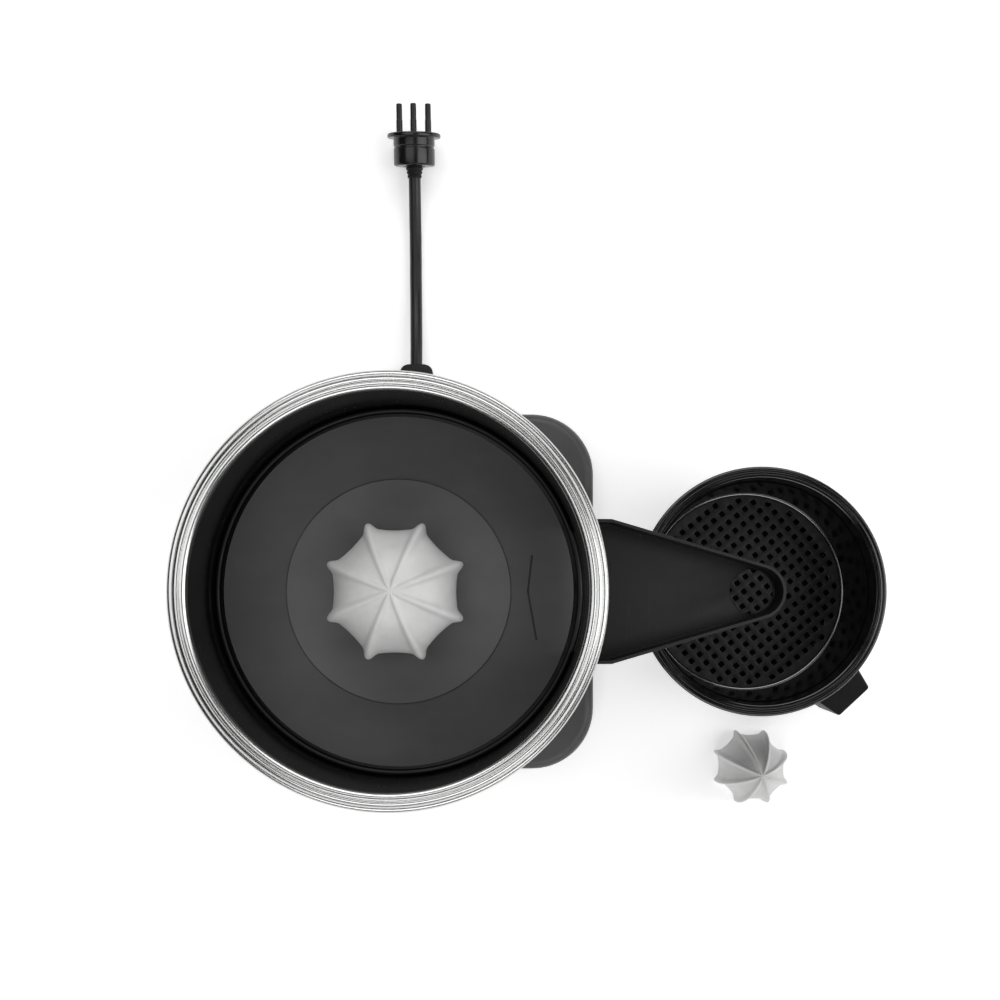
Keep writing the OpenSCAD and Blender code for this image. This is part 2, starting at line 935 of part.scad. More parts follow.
module rim_ring() {
    band = rim_r - bowl_top_r;
    color("#d2d3d4")
        rotate_extrude() {
            translate([bowl_top_r, rim_z0])
                square([band, rim_height - 2]);
            translate([bowl_top_r + 1.9, rim_top - 1.8])
                circle(1.8);
            translate([bowl_top_r + 4.8, rim_top - 1.5])
                circle(0.9);
            translate([rim_r - 1.3, rim_top - 1.9])
                circle(1.2);
            translate([drum_r + slip_gap, rim_z0 - rim_skirt])
                square([rim_r - drum_r - slip_gap, rim_skirt + 1]);
        }
}

// Plan outline: parallel through the drum, then tapering to the round end
function spout_plan(half, tip_r) = concat(
    [[0, half], [0, -half], [shoulder_x, -half]],
    [for (i = [0 : 24])
        [outlet_x, 0] + polar(tip_r, (90 - spout_taper) * (i / 12 - 1))],
    [[shoulder_x, half]]
);

// Solid between two levels that follow the fall of the spout's floor
module spout_solid(half, tip_r, low, high) {
    intersection() {
        linear_extrude(rim_top)
            polygon(spout_plan(half, tip_r));
        rotate([90, 0, 0])
            linear_extrude(2 * half + 2, center = true)
                polygon([
                    [-5, spout_floor(-5) + low], [spout_end_x + 5, spout_floor(spout_end_x + 5) + low],
                    [spout_end_x + 5, spout_floor(spout_end_x + 5) + high], [-5, spout_floor(-5) + high]
                ]);
    }
}

module spout() {
    color("#161617")
        difference() {
            spout_solid(spout_root_half, spout_tip_r, -spout_wall, spout_side);
            spout_solid(
                spout_root_half - spout_wall / cos(spout_taper), spout_tip_r - spout_wall,
                0, spout_side + 5
            );
            translate([outlet_x, 0, bowl_floor_z / 2])
                cylinder(r = outlet_r, h = bowl_floor_z / 2);
            cylinder(r = liner_r, h = rim_top);
        }
}

module notch_cover() {
    corner_x = sqrt(pow(drum_in_r, 2) - pow(notch_half, 2));
    z0 = spout_floor(corner_x) + spout_side + 0.3;
    color("#b9babb")
        intersection() {
            translate([0, 0, z0])
                ring(drum_in_r, drum_r, rim_z0 - z0);
            translate([0, -notch_half + 0.4, z0])
                cube([drum_r + 1, 2 * notch_half - 0.8, rim_z0]);
        }
}

module drive_sleeve() {
    color("#d9d9d6")
        difference() {
            union() {
                translate([0, 0, sleeve_z0])
                    cylinder(r = sleeve_r, h = sleeve_top - sleeve_z0);
                translate([0, 0, sleeve_flange_z])
                    cylinder(r = sleeve_flange_r, h = sleeve_top - sleeve_flange_z);
            }
            translate([0, 0, sleeve_z0 - 1])
                hex_bar(dog_half + slip_gap, socket_z1 - sleeve_z0 + 1);
            translate([0, 0, sleeve_z0])
                hex_bar(spindle_half + slip_gap, sleeve_top - sleeve_z0 + 1);
            translate([0, 0, clip_z[0] - 0.05])
                ring(clip_groove_r, sleeve_r + 1, clip_z[1] - clip_z[0] + 0.1);
        }
}

module sleeve_clip() {
    color("#c8cacc")
        translate([0, 0, clip_z[0]])
            ring(clip_groove_r, clip_r, clip_z[1] - clip_z[0]);
}

module spindle() {
    color("#c8cacc")
        translate([0, 0, spindle_z0])
            hex_bar(spindle_half, spindle_top - spindle_z0);
}

// ---------- reamers ----------

// Ribbed cone, open below, with a hub for the hexagonal spindle
module reamer(ear_r, dome_r, h, shell, hub, hub_low, socket_top) {
    dome_h = h - rib_stand;
    difference() {
        union() {
            rotate_extrude()
                polygon(concat([[0, 0]], dome_points(dome_r, dome_h)));
            for (k = [0 : 7])
                rotate([0, 0, 22.5 + 45 * k])
                    rotate([90, 0, 0])
                        linear_extrude(rib_t, center = true)
                            polygon(concat([[0, 0]], dome_points(ear_r, h)));
        }
        difference() {
            translate([0, 0, -1])
                rotate_extrude()
                    polygon(concat([[0, 0]], dome_points(dome_r - shell, dome_h - shell + 1)));
            translate([0, 0, hub_low])
                cylinder(r = hub, h = h);
        }
        translate([0, 0, -1])
            hex_bar(spindle_half + slip_gap - 0.1, socket_top + 1);
    }
}

module large_reamer() {
    color("#c9c9c9")
        translate([0, 0, reamer_z0])
            reamer(
                reamer_r, valley_r, reamer_height, reamer_shell, hub_r,
                hub_z0 - reamer_z0, spindle_top - reamer_z0 + 0.3
            );
}

module small_reamer() {
    color("#cfcfcf")
        translate([small_at[0], small_at[1], 0])
            reamer(small_r, small_valley_r, small_height, small_shell, small_hub_r, 0, small_height - 15);
}

// ---------- cup ----------

function cup_outline(inset) = [
    [0, 0], [cup_base_r - inset, 0], [cup_side_r - inset, cup_wall_top], [0, cup_wall_top]
];

module cup_wall() {
    color("#0e0e0f")
        at_cup()
            difference() {
                union() {
                    rotate_extrude()
                        polygon(cup_outline(0));
                    translate([0, 0, cup_wall_top - cup_lip_h])
                        cylinder(r = cup_r, h = cup_lip_h);
                }
                intersection() {
                    rotate_extrude()
                        polygon(cup_outline(cup_wall_t));
                    translate([0, 0, cup_floor_t])
                        cylinder(r = cup_r, h = cup_h);
                }
                translate([0, 0, cup_wall_top - 1])
                    cylinder(r = cup_side_r - cup_wall_t, h = 2);
                translate([0, 0, -1])
                    cylinder(r = cup_base_r - 5, h = 2);
            }
}

module cup_handle() {
    color("#131314")
        at_cup()
            difference() {
                rotate([0, 0, handle_angle])
                    translate([0, 0, handle_z[0]])
                        linear_extrude(handle_z[1] - handle_z[0])
                            polygon([
                                [cup_base_r - 5, -handle_w / 2], [cup_r, -handle_w / 2],
                                [cup_r + handle_out, -handle_end_w / 2], [cup_r + handle_out, handle_end_w / 2],
                                [cup_r, handle_w / 2], [cup_base_r - 5, handle_w / 2]
                            ]);
                rotate_extrude()
                    polygon(cup_outline(0));
            }
}

module strainer_basket() {
    low = mesh_z + 3;
    color("#171718")
        at_cup()
            rotate_extrude()
                polygon([
                    [rim_inner_r, mesh_z - mesh_t - 1], [basket_low_r, mesh_z - mesh_t - 1], [basket_low_r, low],
                    [basket_top_r, cup_wall_top], [cup_r - 0.6, cup_wall_top], [cup_r - 0.6, cup_h],
                    [basket_top_r - basket_wall, cup_h], [basket_low_r - basket_wall, low],
                    [basket_low_r - basket_wall, mesh_z], [mesh_r, mesh_z], [mesh_r, mesh_z - mesh_t],
                    [rim_inner_r, mesh_z - mesh_t]
                ]);
}

module strainer_mesh() {
    count = floor(mesh_field_r / mesh_pitch);
    color("#2b2b2c")
        at_cup()
            translate([0, 0, mesh_z - mesh_t])
                linear_extrude(mesh_t)
                    difference() {
                        circle(mesh_r);
                        rotate([0, 0, mesh_angle])
                            for (i = [-count : count], j = [-count : count])
                                if (norm([i, j]) * mesh_pitch < mesh_field_r)
                                    translate([i * mesh_pitch, j * mesh_pitch])
                                        square(mesh_hole, center = true);
                    }
}

foot_ring();
bottom_cover();
cover_screws();
plinth_shell();
drum_shell();
lower_posts();
gear_plate();
upper_posts();
top_deck();
deck_bearing();
plate_bush();
shaft_seal();
stator_stack();
stator_coil();
motor_bracket();
motor_studs();
rotor_bushes();
idler_axle();
switch_body();
switch_bracket();
return_spring();
terminal_block();
wire_leads();
cord_tail();
cord_gland();
power_cord();
plug_boot();
plug_body();
plug_pins();
rotor_core();
rotor_shaft();
motor_pinion();
idler_gear();
output_gear();
drive_shaft();
push_rod();
bowl_liner();
bead_ring();
floor_disc();
centre_disc();
rim_ring();
spout();
notch_cover();
drive_sleeve();
sleeve_clip();
spindle();
large_reamer();
cup_wall();
cup_handle();
strainer_basket();
strainer_mesh();
small_reamer();
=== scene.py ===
import math

import bmesh
import bpy
from mathutils import Matrix, Vector


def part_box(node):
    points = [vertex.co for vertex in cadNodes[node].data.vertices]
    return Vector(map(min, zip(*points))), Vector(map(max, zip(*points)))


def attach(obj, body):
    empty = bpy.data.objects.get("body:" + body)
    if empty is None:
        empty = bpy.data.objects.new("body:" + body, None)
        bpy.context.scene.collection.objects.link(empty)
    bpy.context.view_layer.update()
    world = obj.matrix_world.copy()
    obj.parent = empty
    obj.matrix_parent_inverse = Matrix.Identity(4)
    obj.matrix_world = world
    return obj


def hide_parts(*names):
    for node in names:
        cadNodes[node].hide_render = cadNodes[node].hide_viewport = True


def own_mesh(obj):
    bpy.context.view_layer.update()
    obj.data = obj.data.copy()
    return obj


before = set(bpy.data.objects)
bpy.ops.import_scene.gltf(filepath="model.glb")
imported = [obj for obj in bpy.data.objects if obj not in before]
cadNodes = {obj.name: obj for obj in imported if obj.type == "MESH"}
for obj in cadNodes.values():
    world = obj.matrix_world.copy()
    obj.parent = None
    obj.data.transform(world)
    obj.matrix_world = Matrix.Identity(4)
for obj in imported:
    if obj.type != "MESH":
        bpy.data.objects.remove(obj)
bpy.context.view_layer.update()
print("frame loaded")


# ---- camera ----

cameraLook = {
    "place": (0.0598, 0.0, 0.762),  # straight above the gap between the bowl and the cup
    "lens": 50,
    "shiftX": -0.0265,
    "shiftY": 0.0915,
}

cameraData = bpy.data.cameras.new("camera")
cameraData.lens = cameraLook["lens"]
cameraData.sensor_width = 36
cameraData.shift_x = cameraLook["shiftX"]
cameraData.shift_y = cameraLook["shiftY"]
camera = bpy.data.objects.new("camera", cameraData)
camera.location = cameraLook["place"]
bpy.context.scene.collection.objects.link(camera)
bpy.context.scene.camera = camera
bpy.context.scene.view_settings.view_transform = "Standard"
print("camera placed")


# ---- mesh helpers ----

creaseLimit = 50  # degrees between two faces that leave a sharp edge


def radiiOf(node, centre=(0, 0)):
    spans = [math.hypot(v.co.x - centre[0], v.co.y - centre[1]) for v in cadNodes[node].data.vertices]
    return min(spans), max(spans)


def markSharp(mesh, limit):
    work = bmesh.new()
    work.from_mesh(mesh)
    bmesh.ops.remove_doubles(work, verts=work.verts, dist=1e-7)
    bmesh.ops.recalc_face_normals(work, faces=work.faces)
    for face in work.faces:
        face.smooth = True
    for edge in work.edges:
        edge.smooth = len(edge.link_faces) == 2 and edge.calc_face_angle(0) < math.radians(limit)
    work.to_mesh(mesh)
    work.free()


def makeMesh(name, points, faces, sharp=creaseLimit):
    mesh = bpy.data.meshes.new(name)
    mesh.from_pydata([tuple(p) for p in points], [], faces)
    markSharp(mesh, sharp)
    piece = bpy.data.objects.new(name, mesh)
    bpy.context.scene.collection.objects.link(piece)
    return piece


def ringFaces(rings, closed, base=0):
    size = len(rings[0])
    pairs = len(rings) if closed else len(rings) - 1
    faces = []
    for i in range(pairs):
        a = base + i * size
        b = base + ((i + 1) % len(rings)) * size
        faces += [(a + j, a + (j + 1) % size, b + (j + 1) % size, b + j) for j in range(size)]
    return faces


def skin(name, rings, closed=False, caps=False, sharp=creaseLimit):
    size = len(rings[0])
    faces = ringFaces(rings, closed)
    if caps:
        last = (len(rings) - 1) * size
        faces += [tuple(range(size - 1, -1, -1)), tuple(range(last, last + size))]
    return makeMesh(name, [p for ring in rings for p in ring], faces, sharp)


def joinPieces(name, pieces):
    points, faces = [], []
    for piece in pieces:
        base = len(points)
        points += [piece.matrix_world @ v.co for v in piece.data.vertices]
        faces += [tuple(base + i for i in face.vertices) for face in piece.data.polygons]
        bpy.data.objects.remove(piece)
    return makeMesh(name, points, faces)


# corners are (r, z, rounding); every corner with a rounding turns into an arc
def roundedPath(corners, closed=True, steps=5):
    path = []
    for i, (r, z, rounding) in enumerate(corners):
        here = Vector((r, z))
        if rounding == 0 or (not closed and i in (0, len(corners) - 1)):
            path.append(here)
            continue
        before = Vector(corners[i - 1][:2]) - here
        after = Vector(corners[(i + 1) % len(corners)][:2]) - here
        half = before.angle(after) / 2
        rounding = min(rounding, 0.49 * min(before.length, after.length) * math.tan(half))
        centre = here + (before.normalized() + after.normalized()).normalized() * rounding / math.sin(half)
        first = here + before.normalized() * rounding / math.tan(half) - centre
        final = here + after.normalized() * rounding / math.tan(half) - centre
        turn0 = math.atan2(first.y, first.x)
        turn = (math.atan2(final.y, final.x) - turn0 + math.pi) % (2 * math.pi) - math.pi
        for k in range(steps + 1):
            angle = turn0 + turn * k / steps
            path.append(centre + rounding * Vector((math.cos(angle), math.sin(angle))))
    return path


def lathe(name, path, centre=(0, 0), turns=160, closed=True, caps=False):
    angles = [2 * math.pi * k / turns for k in range(turns)]
    middle = Vector((*centre, 0))
    rings = [[middle + Vector((p.x * math.cos(a), p.x * math.sin(a), p.y)) for a in angles] for p in path]
    return skin(name, rings, closed, caps)


# a CAD node keeps its own mesh: welded, its flats merged, and its edges broken by a small bevel
def softenEdges(node, width, segments=2):
    piece = cadNodes[node]
    if "custom_normal" in piece.data.attributes:
        piece.data.attributes.remove(piece.data.attributes["custom_normal"])
    weld = piece.modifiers.new("weld", "WELD")
    weld.merge_threshold = 1e-6
    flats = piece.modifiers.new("flats", "DECIMATE")
    flats.decimate_type = "DISSOLVE"
    flats.angle_limit = math.radians(0.4)
    bevel = piece.modifiers.new("bevel", "BEVEL")
    bevel.limit_method = "ANGLE"
    bevel.angle_limit = math.radians(32)
    bevel.width = width
    bevel.segments = segments
    bevel.harden_normals = True


# ---- lead: cord, sleeve and plug, in metres ----

leadLook = {
    "diameter": 0.0065,
    "length": 0.102,
    "lift": 0.00005,  # the skin just clears the table
    # route of the middle of the cord, height counted from a cord that lies on the table
    "lay": [
        (0, 0.123, 0.0043), (0, 0.129, 0.0042), (0, 0.135, 0.0038), (-0.0001, 0.141, 0.0031),
        (-0.0002, 0.147, 0.00215), (-0.0003, 0.153, 0.0012), (-0.0004, 0.159, 0.0005),
        (-0.0005, 0.165, 0.0001), (-0.0006, 0.172, 0), (-0.0006, 0.180, 0), (-0.0007, 0.187, 0),
        (-0.0007, 0.193, 0.0002), (-0.0008, 0.199, 0.0009), (-0.0008, 0.205, 0.002),
        (-0.0008, 0.211, 0.0033), (-0.0008, 0.2175, 0.00475), (-0.0008, 0.224, 0.0062),
    ],
}
plugLook = {
    "bootLength": 0.006,
    "bootEnd": 0.0047,
    "bodyRadius": 0.0111,
    "bodyLength": 0.0145,
    "flangeRadius": 0.0143,
    "flangeThickness": 0.0024,
    "pinRadius": 0.0017,
    "pinLength": 0.0155,
    "pinSpacing": 0.0077,
    "pinRise": 0.002,
}


def smoothLine(points, steps=6):
    line = []
    for i in range(len(points) - 1):
        p0, p1, p2, p3 = (points[min(max(i + k, 0), len(points) - 1)] for k in (-1, 0, 1, 2))
        for k in range(steps):
            t = k / steps
            line.append(0.5 * (2 * p1 + (p2 - p0) * t + (2 * p0 - 5 * p1 + 4 * p2 - p3) * t * t
                               + (3 * p1 - p0 - 3 * p2 + p3) * t ** 3))
    return line + [points[-1]]


cordHeight = leadLook["diameter"] / 2 + leadLook["lift"]
route = [Vector((x, y, z + cordHeight)) for x, y, z in leadLook["lay"]]
cordCurve = bpy.data.curves.new("powerCord", "CURVE")
cordCurve.dimensions = "3D"
cordCurve.bevel_depth = 1  # the radius of each point gives the thickness
cordCurve.bevel_resolution = 7
cordCurve.use_fill_caps = True
cordLine = smoothLine(route)
cordSpline = cordCurve.splines.new("POLY")
cordSpline.points.add(len(cordLine) - 1)
for point, place in zip(cordSpline.points, cordLine):
    point.co = (*place, 1)
    point.radius = leadLook["diameter"] / 2
powerCord = bpy.data.objects.new("powerCord", cordCurve)
bpy.context.scene.collection.objects.link(powerCord)

plugTilt = math.atan((plugLook["flangeRadius"] - plugLook["bodyRadius"]) / plugLook["bodyLength"])
plugPlace = Vector((
    route[-1].x, route[-1].y + plugLook["bootLength"] * math.cos(plugTilt),
    plugLook["bodyRadius"] * math.cos(plugTilt),
))
plugFrame = Matrix.Translation(plugPlace) @ Matrix.Rotation(plugTilt - math.pi / 2, 4, "X")


def plugPiece(piece):
    piece.data.transform(plugFrame)
    return piece


def makePlugBoot():
    ribs = 3
    length = plugLook["bootLength"]
    low = leadLook["diameter"] / 2 + 0.0003
    corners = [(low - 0.0001, -length, 0)]
    for k in range(ribs):
        z = -length + length * k / ribs
        r = low + (plugLook["bootEnd"] - low) * k / ribs
        corners += [(r + 0.0001, z, 0.0003), (r + 0.0004, z + length / ribs * 0.66, 0.0003),
                    (r - 0.0001, z + length / ribs * 0.74, 0.0001), (r, z + length / ribs * 0.98, 0.0001)]
    corners += [(plugLook["bootEnd"], 0.0002, 0)]
    path = roundedPath(corners, closed=False, steps=3)
    return plugPiece(lathe("plugBoot", path, turns=64, closed=False, caps=True))


def makePlugBody():
    r, length = plugLook["bodyRadius"], plugLook["bodyLength"]
    flange, face = plugLook["flangeRadius"], plugLook["bodyLength"] + plugLook["flangeThickness"]
    corners = [
        (0.0049, 0, 0), (0.0049, 0.0005, 0.0001), (0.0058, 0.0005, 0.0002), (0.0058, 0, 0.0002),
        (r, 0, 0.0012), (r, length * 0.62, 0.0002), (r - 0.0004, length * 0.65, 0.0001),
        (r - 0.0004, length * 0.7, 0.0001), (r, length * 0.73, 0.0002), (r, length, 0.0004),
        (flange, length, 0.0006), (flange, face, 0.0009), (flange - 0.0022, face, 0.0001),
        (flange - 0.0025, face - 0.0003, 0.0001), (0.0005, face - 0.0003, 0),
    ]
    path = roundedPath(corners, closed=False)
    return plugPiece(lathe("plugBody", path, turns=128, closed=False, caps=True))


def makePlugPins():
    r, length = plugLook["pinRadius"], plugLook["pinLength"]
    face = plugLook["bodyLength"] + plugLook["flangeThickness"]
    corners = [
        (r + 0.0007, face - 0.0005, 0), (r + 0.0007, face + 0.0004, 0.0002), (r, face + 0.0005, 0.0001),
        (r, face + length * 0.45, 0.00005), (r - 0.00012, face + length * 0.46, 0.00005),
        (r - 0.00012, face + length, 0.0014), (0.0001, face + length, 0),
    ]
    path = roundedPath(corners, closed=False, steps=8)
    spots = [(s * plugLook["pinSpacing"], -plugLook["pinRise"] if s == 0 else 0) for s in (-1, 0, 1)]
    return plugPiece(joinPieces("plugPins", [
        lathe(f"pin{k}", path, centre=spot, turns=40, closed=False, caps=True) for k, spot in enumerate(spots)
    ]))


plugBoot = makePlugBoot()
plugBody = makePlugBody()
plugPins = makePlugPins()
for piece, node, slot in (
    (powerCord, "power_cord", "cord_skin"), (plugBoot, "plug_boot", "rubber"),
    (plugBody, "plug_body", "plug_plastic"), (plugPins, "plug_pins", "pin_metal"),
):
    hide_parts(node)
    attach(piece, "housing")
print("lead laid")


# ---- surface effects shared by the materials ----

def addNode(tree, kind, inputs=None, **settings):
    node = tree.nodes.new(kind)
    for key, value in settings.items():
        setattr(node, key, value)
    for key, value in (inputs or {}).items():
        if isinstance(value, bpy.types.NodeSocket):
            tree.links.new(value, node.inputs[key])
        else:
            node.inputs[key].default_value = value
    return node


def maths(tree, operation, a, b=0.0, clamp=False):
    return addNode(tree, "ShaderNodeMath", {0: a, 1: b}, operation=operation, use_clamp=clamp).outputs[0]


def rescale(tree, value, low, high, toLow=0.0, toHigh=1.0):
    inputs = {"Value": value, "From Min": low, "From Max": high, "To Min": toLow, "To Max": toHigh}
    return addNode(tree, "ShaderNodeMapRange", inputs).outputs["Result"]


def noiseOf(tree, vector, scale, detail=3.0, roughness=0.5):
    inputs = {"Vector": vector, "Scale": scale, "Detail": detail, "Roughness": roughness}
    return addNode(tree, "ShaderNodeTexNoise", inputs).outputs["Fac"]


def newGroup(name, inputs, outputs):
    group = bpy.data.node_groups.new(name, "ShaderNodeTree")
    for label, kind, value in inputs:
        socket = group.interface.new_socket(label, in_out="INPUT", socket_type=kind)
        if value is not None:
            socket.default_value = value
    for label in outputs:
        group.interface.new_socket(label, in_out="OUTPUT", socket_type="NodeSocketFloat")
    return group, group.nodes.new("NodeGroupInput").outputs, group.nodes.new("NodeGroupOutput").inputs


def makeMouldGrain():  # fine spark-eroded grain with a slow change of tone
    group, given, result = newGroup(
        "mouldGrain",
        [("Vector", "NodeSocketVector", None), ("Grain", "NodeSocketFloat", 1600.0),
         ("Mottle", "NodeSocketFloat", 18.0)],
        ["Height", "Tone"],
    )
    fine = noiseOf(group, given["Vector"], given["Grain"], 2.0, 0.6)
    pits = addNode(group, "ShaderNodeTexVoronoi", {"Vector": given["Vector"], "Scale": given["Grain"]})
    height = maths(group, "MULTIPLY_ADD", pits.outputs["Distance"], 0.5)
    group.links.new(fine, height.node.inputs[2])
    group.links.new(height, result["Height"])
    slow = noiseOf(group, given["Vector"], given["Mottle"], 4.0, 0.6)
    group.links.new(rescale(group, slow, 0.3, 0.7), result["Tone"])
    return group


def makeTurnedLines():  # lines left by a lathe or a brush, running round the upright axis
    group, given, result = newGroup(
        "turnedLines",
        [("Vector", "NodeSocketVector", None), ("Density", "NodeSocketFloat", 3000.0),
         ("Break", "NodeSocketFloat", 6.0)],
        ["Height", "Streak"],
    )
    split = addNode(group, "ShaderNodeSeparateXYZ", {"Vector": given["Vector"]}).outputs
    flat = addNode(group, "ShaderNodeCombineXYZ", {"X": split["X"], "Y": split["Y"]})
    radius = addNode(group, "ShaderNodeVectorMath", {0: flat.outputs[0]}, operation="LENGTH").outputs["Value"]
    turn = maths(group, "MULTIPLY", maths(group, "ARCTAN2", split["Y"], split["X"]), given["Break"])
    lines = addNode(group, "ShaderNodeCombineXYZ", {
        "X": maths(group, "MULTIPLY", radius, given["Density"]),
        "Y": maths(group, "MULTIPLY", split["Z"], given["Density"]), "Z": turn,
    }).outputs[0]
    fine = noiseOf(group, lines, 1.0, 2.0, 0.65)
    broad = noiseOf(group, lines, 0.11, 2.0, 0.5)
    group.links.new(fine, result["Height"])
    group.links.new(rescale(group, maths(group, "ADD", fine, broad), 0.7, 1.3), result["Streak"])
    return group


def makeEdgeWear():  # where an outer edge has been rubbed
    group, given, result = newGroup(
        "edgeWear",
        [("Vector", "NodeSocketVector", None), ("Width", "NodeSocketFloat", 0.0006),
         ("Patch", "NodeSocketFloat", 90.0)],
        ["Wear"],
    )
    rounded = addNode(group, "ShaderNodeBevel", {"Radius": given["Width"]}, samples=4)
    surface = addNode(group, "ShaderNodeNewGeometry")
    dot = addNode(group, "ShaderNodeVectorMath",
                  {0: rounded.outputs["Normal"], 1: surface.outputs["Normal"]}, operation="DOT_PRODUCT")
    turned = rescale(group, dot.outputs["Value"], 0.995, 0.9)
    patch = rescale(group, noiseOf(group, given["Vector"], given["Patch"], 4.0, 0.65), 0.38, 0.62)
    group.links.new(maths(group, "MULTIPLY", turned, patch, True), result["Wear"])
    return group


def makeDustFilm():  # thin dust on what faces up
    group, given, result = newGroup(
        "dustFilm",
        [("Vector", "NodeSocketVector", None), ("Patch", "NodeSocketFloat", 30.0)],
        ["Dust"],
    )
    up = addNode(group, "ShaderNodeSeparateXYZ",
                 {"Vector": addNode(group, "ShaderNodeNewGeometry").outputs["Normal"]}).outputs["Z"]
    facing = rescale(group, up, 0.35, 0.95)
    cloud = rescale(group, noiseOf(group, given["Vector"], given["Patch"], 6.0, 0.7), 0.35, 0.75)
    specks = rescale(group, noiseOf(group, given["Vector"], 1900.0, 1.0), 0.66, 0.78)
    film = maths(group, "ADD", maths(group, "MULTIPLY", cloud, 0.5), specks, True)
    group.links.new(maths(group, "MULTIPLY", facing, film), result["Dust"])
    return group


def makeHandSmears():  # wiped and fingered patches that change the gloss
    group, given, result = newGroup(
        "handSmears",
        [("Vector", "NodeSocketVector", None), ("Size", "NodeSocketFloat", 22.0)],
        ["Smear"],
    )
    drift = addNode(group, "ShaderNodeTexNoise", {"Vector": given["Vector"], "Scale": given["Size"]})
    bent = addNode(group, "ShaderNodeVectorMath",
                   {0: drift.outputs["Color"], 1: (0.03, 0.03, 0.03)}, operation="MULTIPLY")
    moved = addNode(group, "ShaderNodeVectorMath", {0: given["Vector"], 1: bent.outputs[0]}, operation="ADD")
    stretched = addNode(group, "ShaderNodeMapping", {"Vector": moved.outputs[0], "Scale": (1, 3.5, 1.6)})
    wiped = noiseOf(group, stretched.outputs[0], given["Size"], 5.0, 0.6)
    group.links.new(rescale(group, wiped, 0.35, 0.68), result["Smear"])
    return group


def makeHairScratches():  # thin scratches at two slants
    group, given, result = newGroup(
        "hairScratches",
        [("Vector", "NodeSocketVector", None), ("Density", "NodeSocketFloat", 130.0)],
        ["Scratch"],
    )
    masks = []
    for turn in (0.5, 2.1):
        slanted = addNode(group, "ShaderNodeMapping", {
            "Vector": given["Vector"], "Rotation": (0, 0, turn), "Scale": (1, 0.06, 0.3),
        })
        cells = addNode(group, "ShaderNodeTexVoronoi",
                        {"Vector": slanted.outputs[0], "Scale": given["Density"]},
                        feature="DISTANCE_TO_EDGE")
        line = rescale(group, cells.outputs["Distance"], 0.0, 0.018, 1.0, 0.0)
        some = rescale(group, noiseOf(group, given["Vector"], 40 + 20 * turn, 2.0), 0.52, 0.6)
        masks.append(maths(group, "MULTIPLY", line, some))
    group.links.new(maths(group, "MAXIMUM", *masks), result["Scratch"])
    return group


effects = {
    "grain": makeMouldGrain(), "lines": makeTurnedLines(), "wear": makeEdgeWear(),
    "dust": makeDustFilm(), "smears": makeHandSmears(), "scratches": makeHairScratches(),
}


def useEffect(tree, effect, vector, **values):
    node = addNode(tree, "ShaderNodeGroup", node_tree=effects[effect])
    tree.links.new(vector, node.inputs["Vector"])
    for key, value in values.items():
        node.inputs[key.capitalize()].default_value = value
    return node.outputs


def mixColours(tree, share, first, second):
    node = addNode(tree, "ShaderNodeMix", {"Factor": share}, data_type="RGBA")
    for key, colour in ((6, first), (7, second)):
        if isinstance(colour, bpy.types.NodeSocket):
            tree.links.new(colour, node.inputs[key])
        else:
            node.inputs[key].default_value = (*colour, 1)
    return node.outputs[2]


def newMaterial(name):
    material = bpy.data.materials.new(name)
    material.use_nodes = True
    tree = material.node_tree
    shader = tree.nodes["Principled BSDF"]
    place = addNode(tree, "ShaderNodeTexCoord").outputs["Object"]
    return material, tree, shader, place


def addBump(tree, shader, height, strength, distance):
    bump = addNode(tree, "ShaderNodeBump", {"Height": height, "Strength": strength, "Distance": distance})
    tree.links.new(bump.outputs["Normal"], shader.inputs["Normal"])


rubbedWidth = 0.0005  # how far the wear reaches in from an edge
dustColour = (0.42, 0.41, 0.39)
scratchDensity = {"plastic": 130.0, "metal": 160.0}


# moulded plastic and rubber: grain, a slow change of tone, dust, wiped patches, rubbed edges, and painted
# shade that darkens grooves and contact edges where the look asks for it
def mouldedPlastic(name, look):
    material, tree, shader, place = newMaterial(name)
    base = look["colour"]
    grain = useEffect(tree, "grain", place, grain=look.get("grain", 1600.0), mottle=look.get("mottle", 18.0))
    dust = useEffect(tree, "dust", place)["Dust"]
    wear = useEffect(tree, "wear", place, width=rubbedWidth)["Wear"]
    smear = useEffect(tree, "smears", place)["Smear"]
    scratch = useEffect(tree, "scratches", place, density=scratchDensity["plastic"])["Scratch"]
    tone = mixColours(tree, grain["Tone"], [c * 0.88 for c in base], [min(1, c * 1.1) for c in base])
    pale = [c + look.get("pale", 0.06) for c in base]
    worn = mixColours(tree, maths(tree, "MULTIPLY", wear, look.get("wear", 0.4)), tone, pale)
    scraped = mixColours(tree, maths(tree, "MULTIPLY", scratch, look.get("scratch", 0.15)), worn, pale)
    film = maths(tree, "MULTIPLY", dust, look.get("dust", 0.03))
    dustAndCreviceShade = mixColours(tree, film, scraped, dustColour)
    # painted shade: an ambient-occlusion probe darkens the colour towards black in grooves, recesses and
    # where parts meet
    if "paintedCreviceShade" in look:
        creviceShadeProbe = addNode(tree, "ShaderNodeAmbientOcclusion", {"Distance": look["paintedCreviceShade"]}, samples=8)
        unshadedShare = rescale(tree, creviceShadeProbe.outputs["AO"], 0.35, 0.85, 0.04, 1.0)
        dustAndCreviceShade = mixColours(tree, unshadedShare, (0, 0, 0), dustAndCreviceShade)
    tree.links.new(dustAndCreviceShade, shader.inputs["Base Color"])
    rough = look["roughness"]
    gloss = rescale(tree, smear, 0.0, 1.0, rough * 0.85, min(1.0, rough * 1.2 + 0.02))
    dulled = maths(tree, "MULTIPLY_ADD", scratch, 0.12)
    tree.links.new(gloss, dulled.node.inputs[2])
    tree.links.new(dulled, shader.inputs["Roughness"])
    addBump(tree, shader, grain["Height"], look.get("bump", 0.25), 0.00006)
    shader.inputs["IOR"].default_value = 1.49
    shader.inputs["Specular IOR Level"].default_value = look.get("specular", 0.5)
    return material


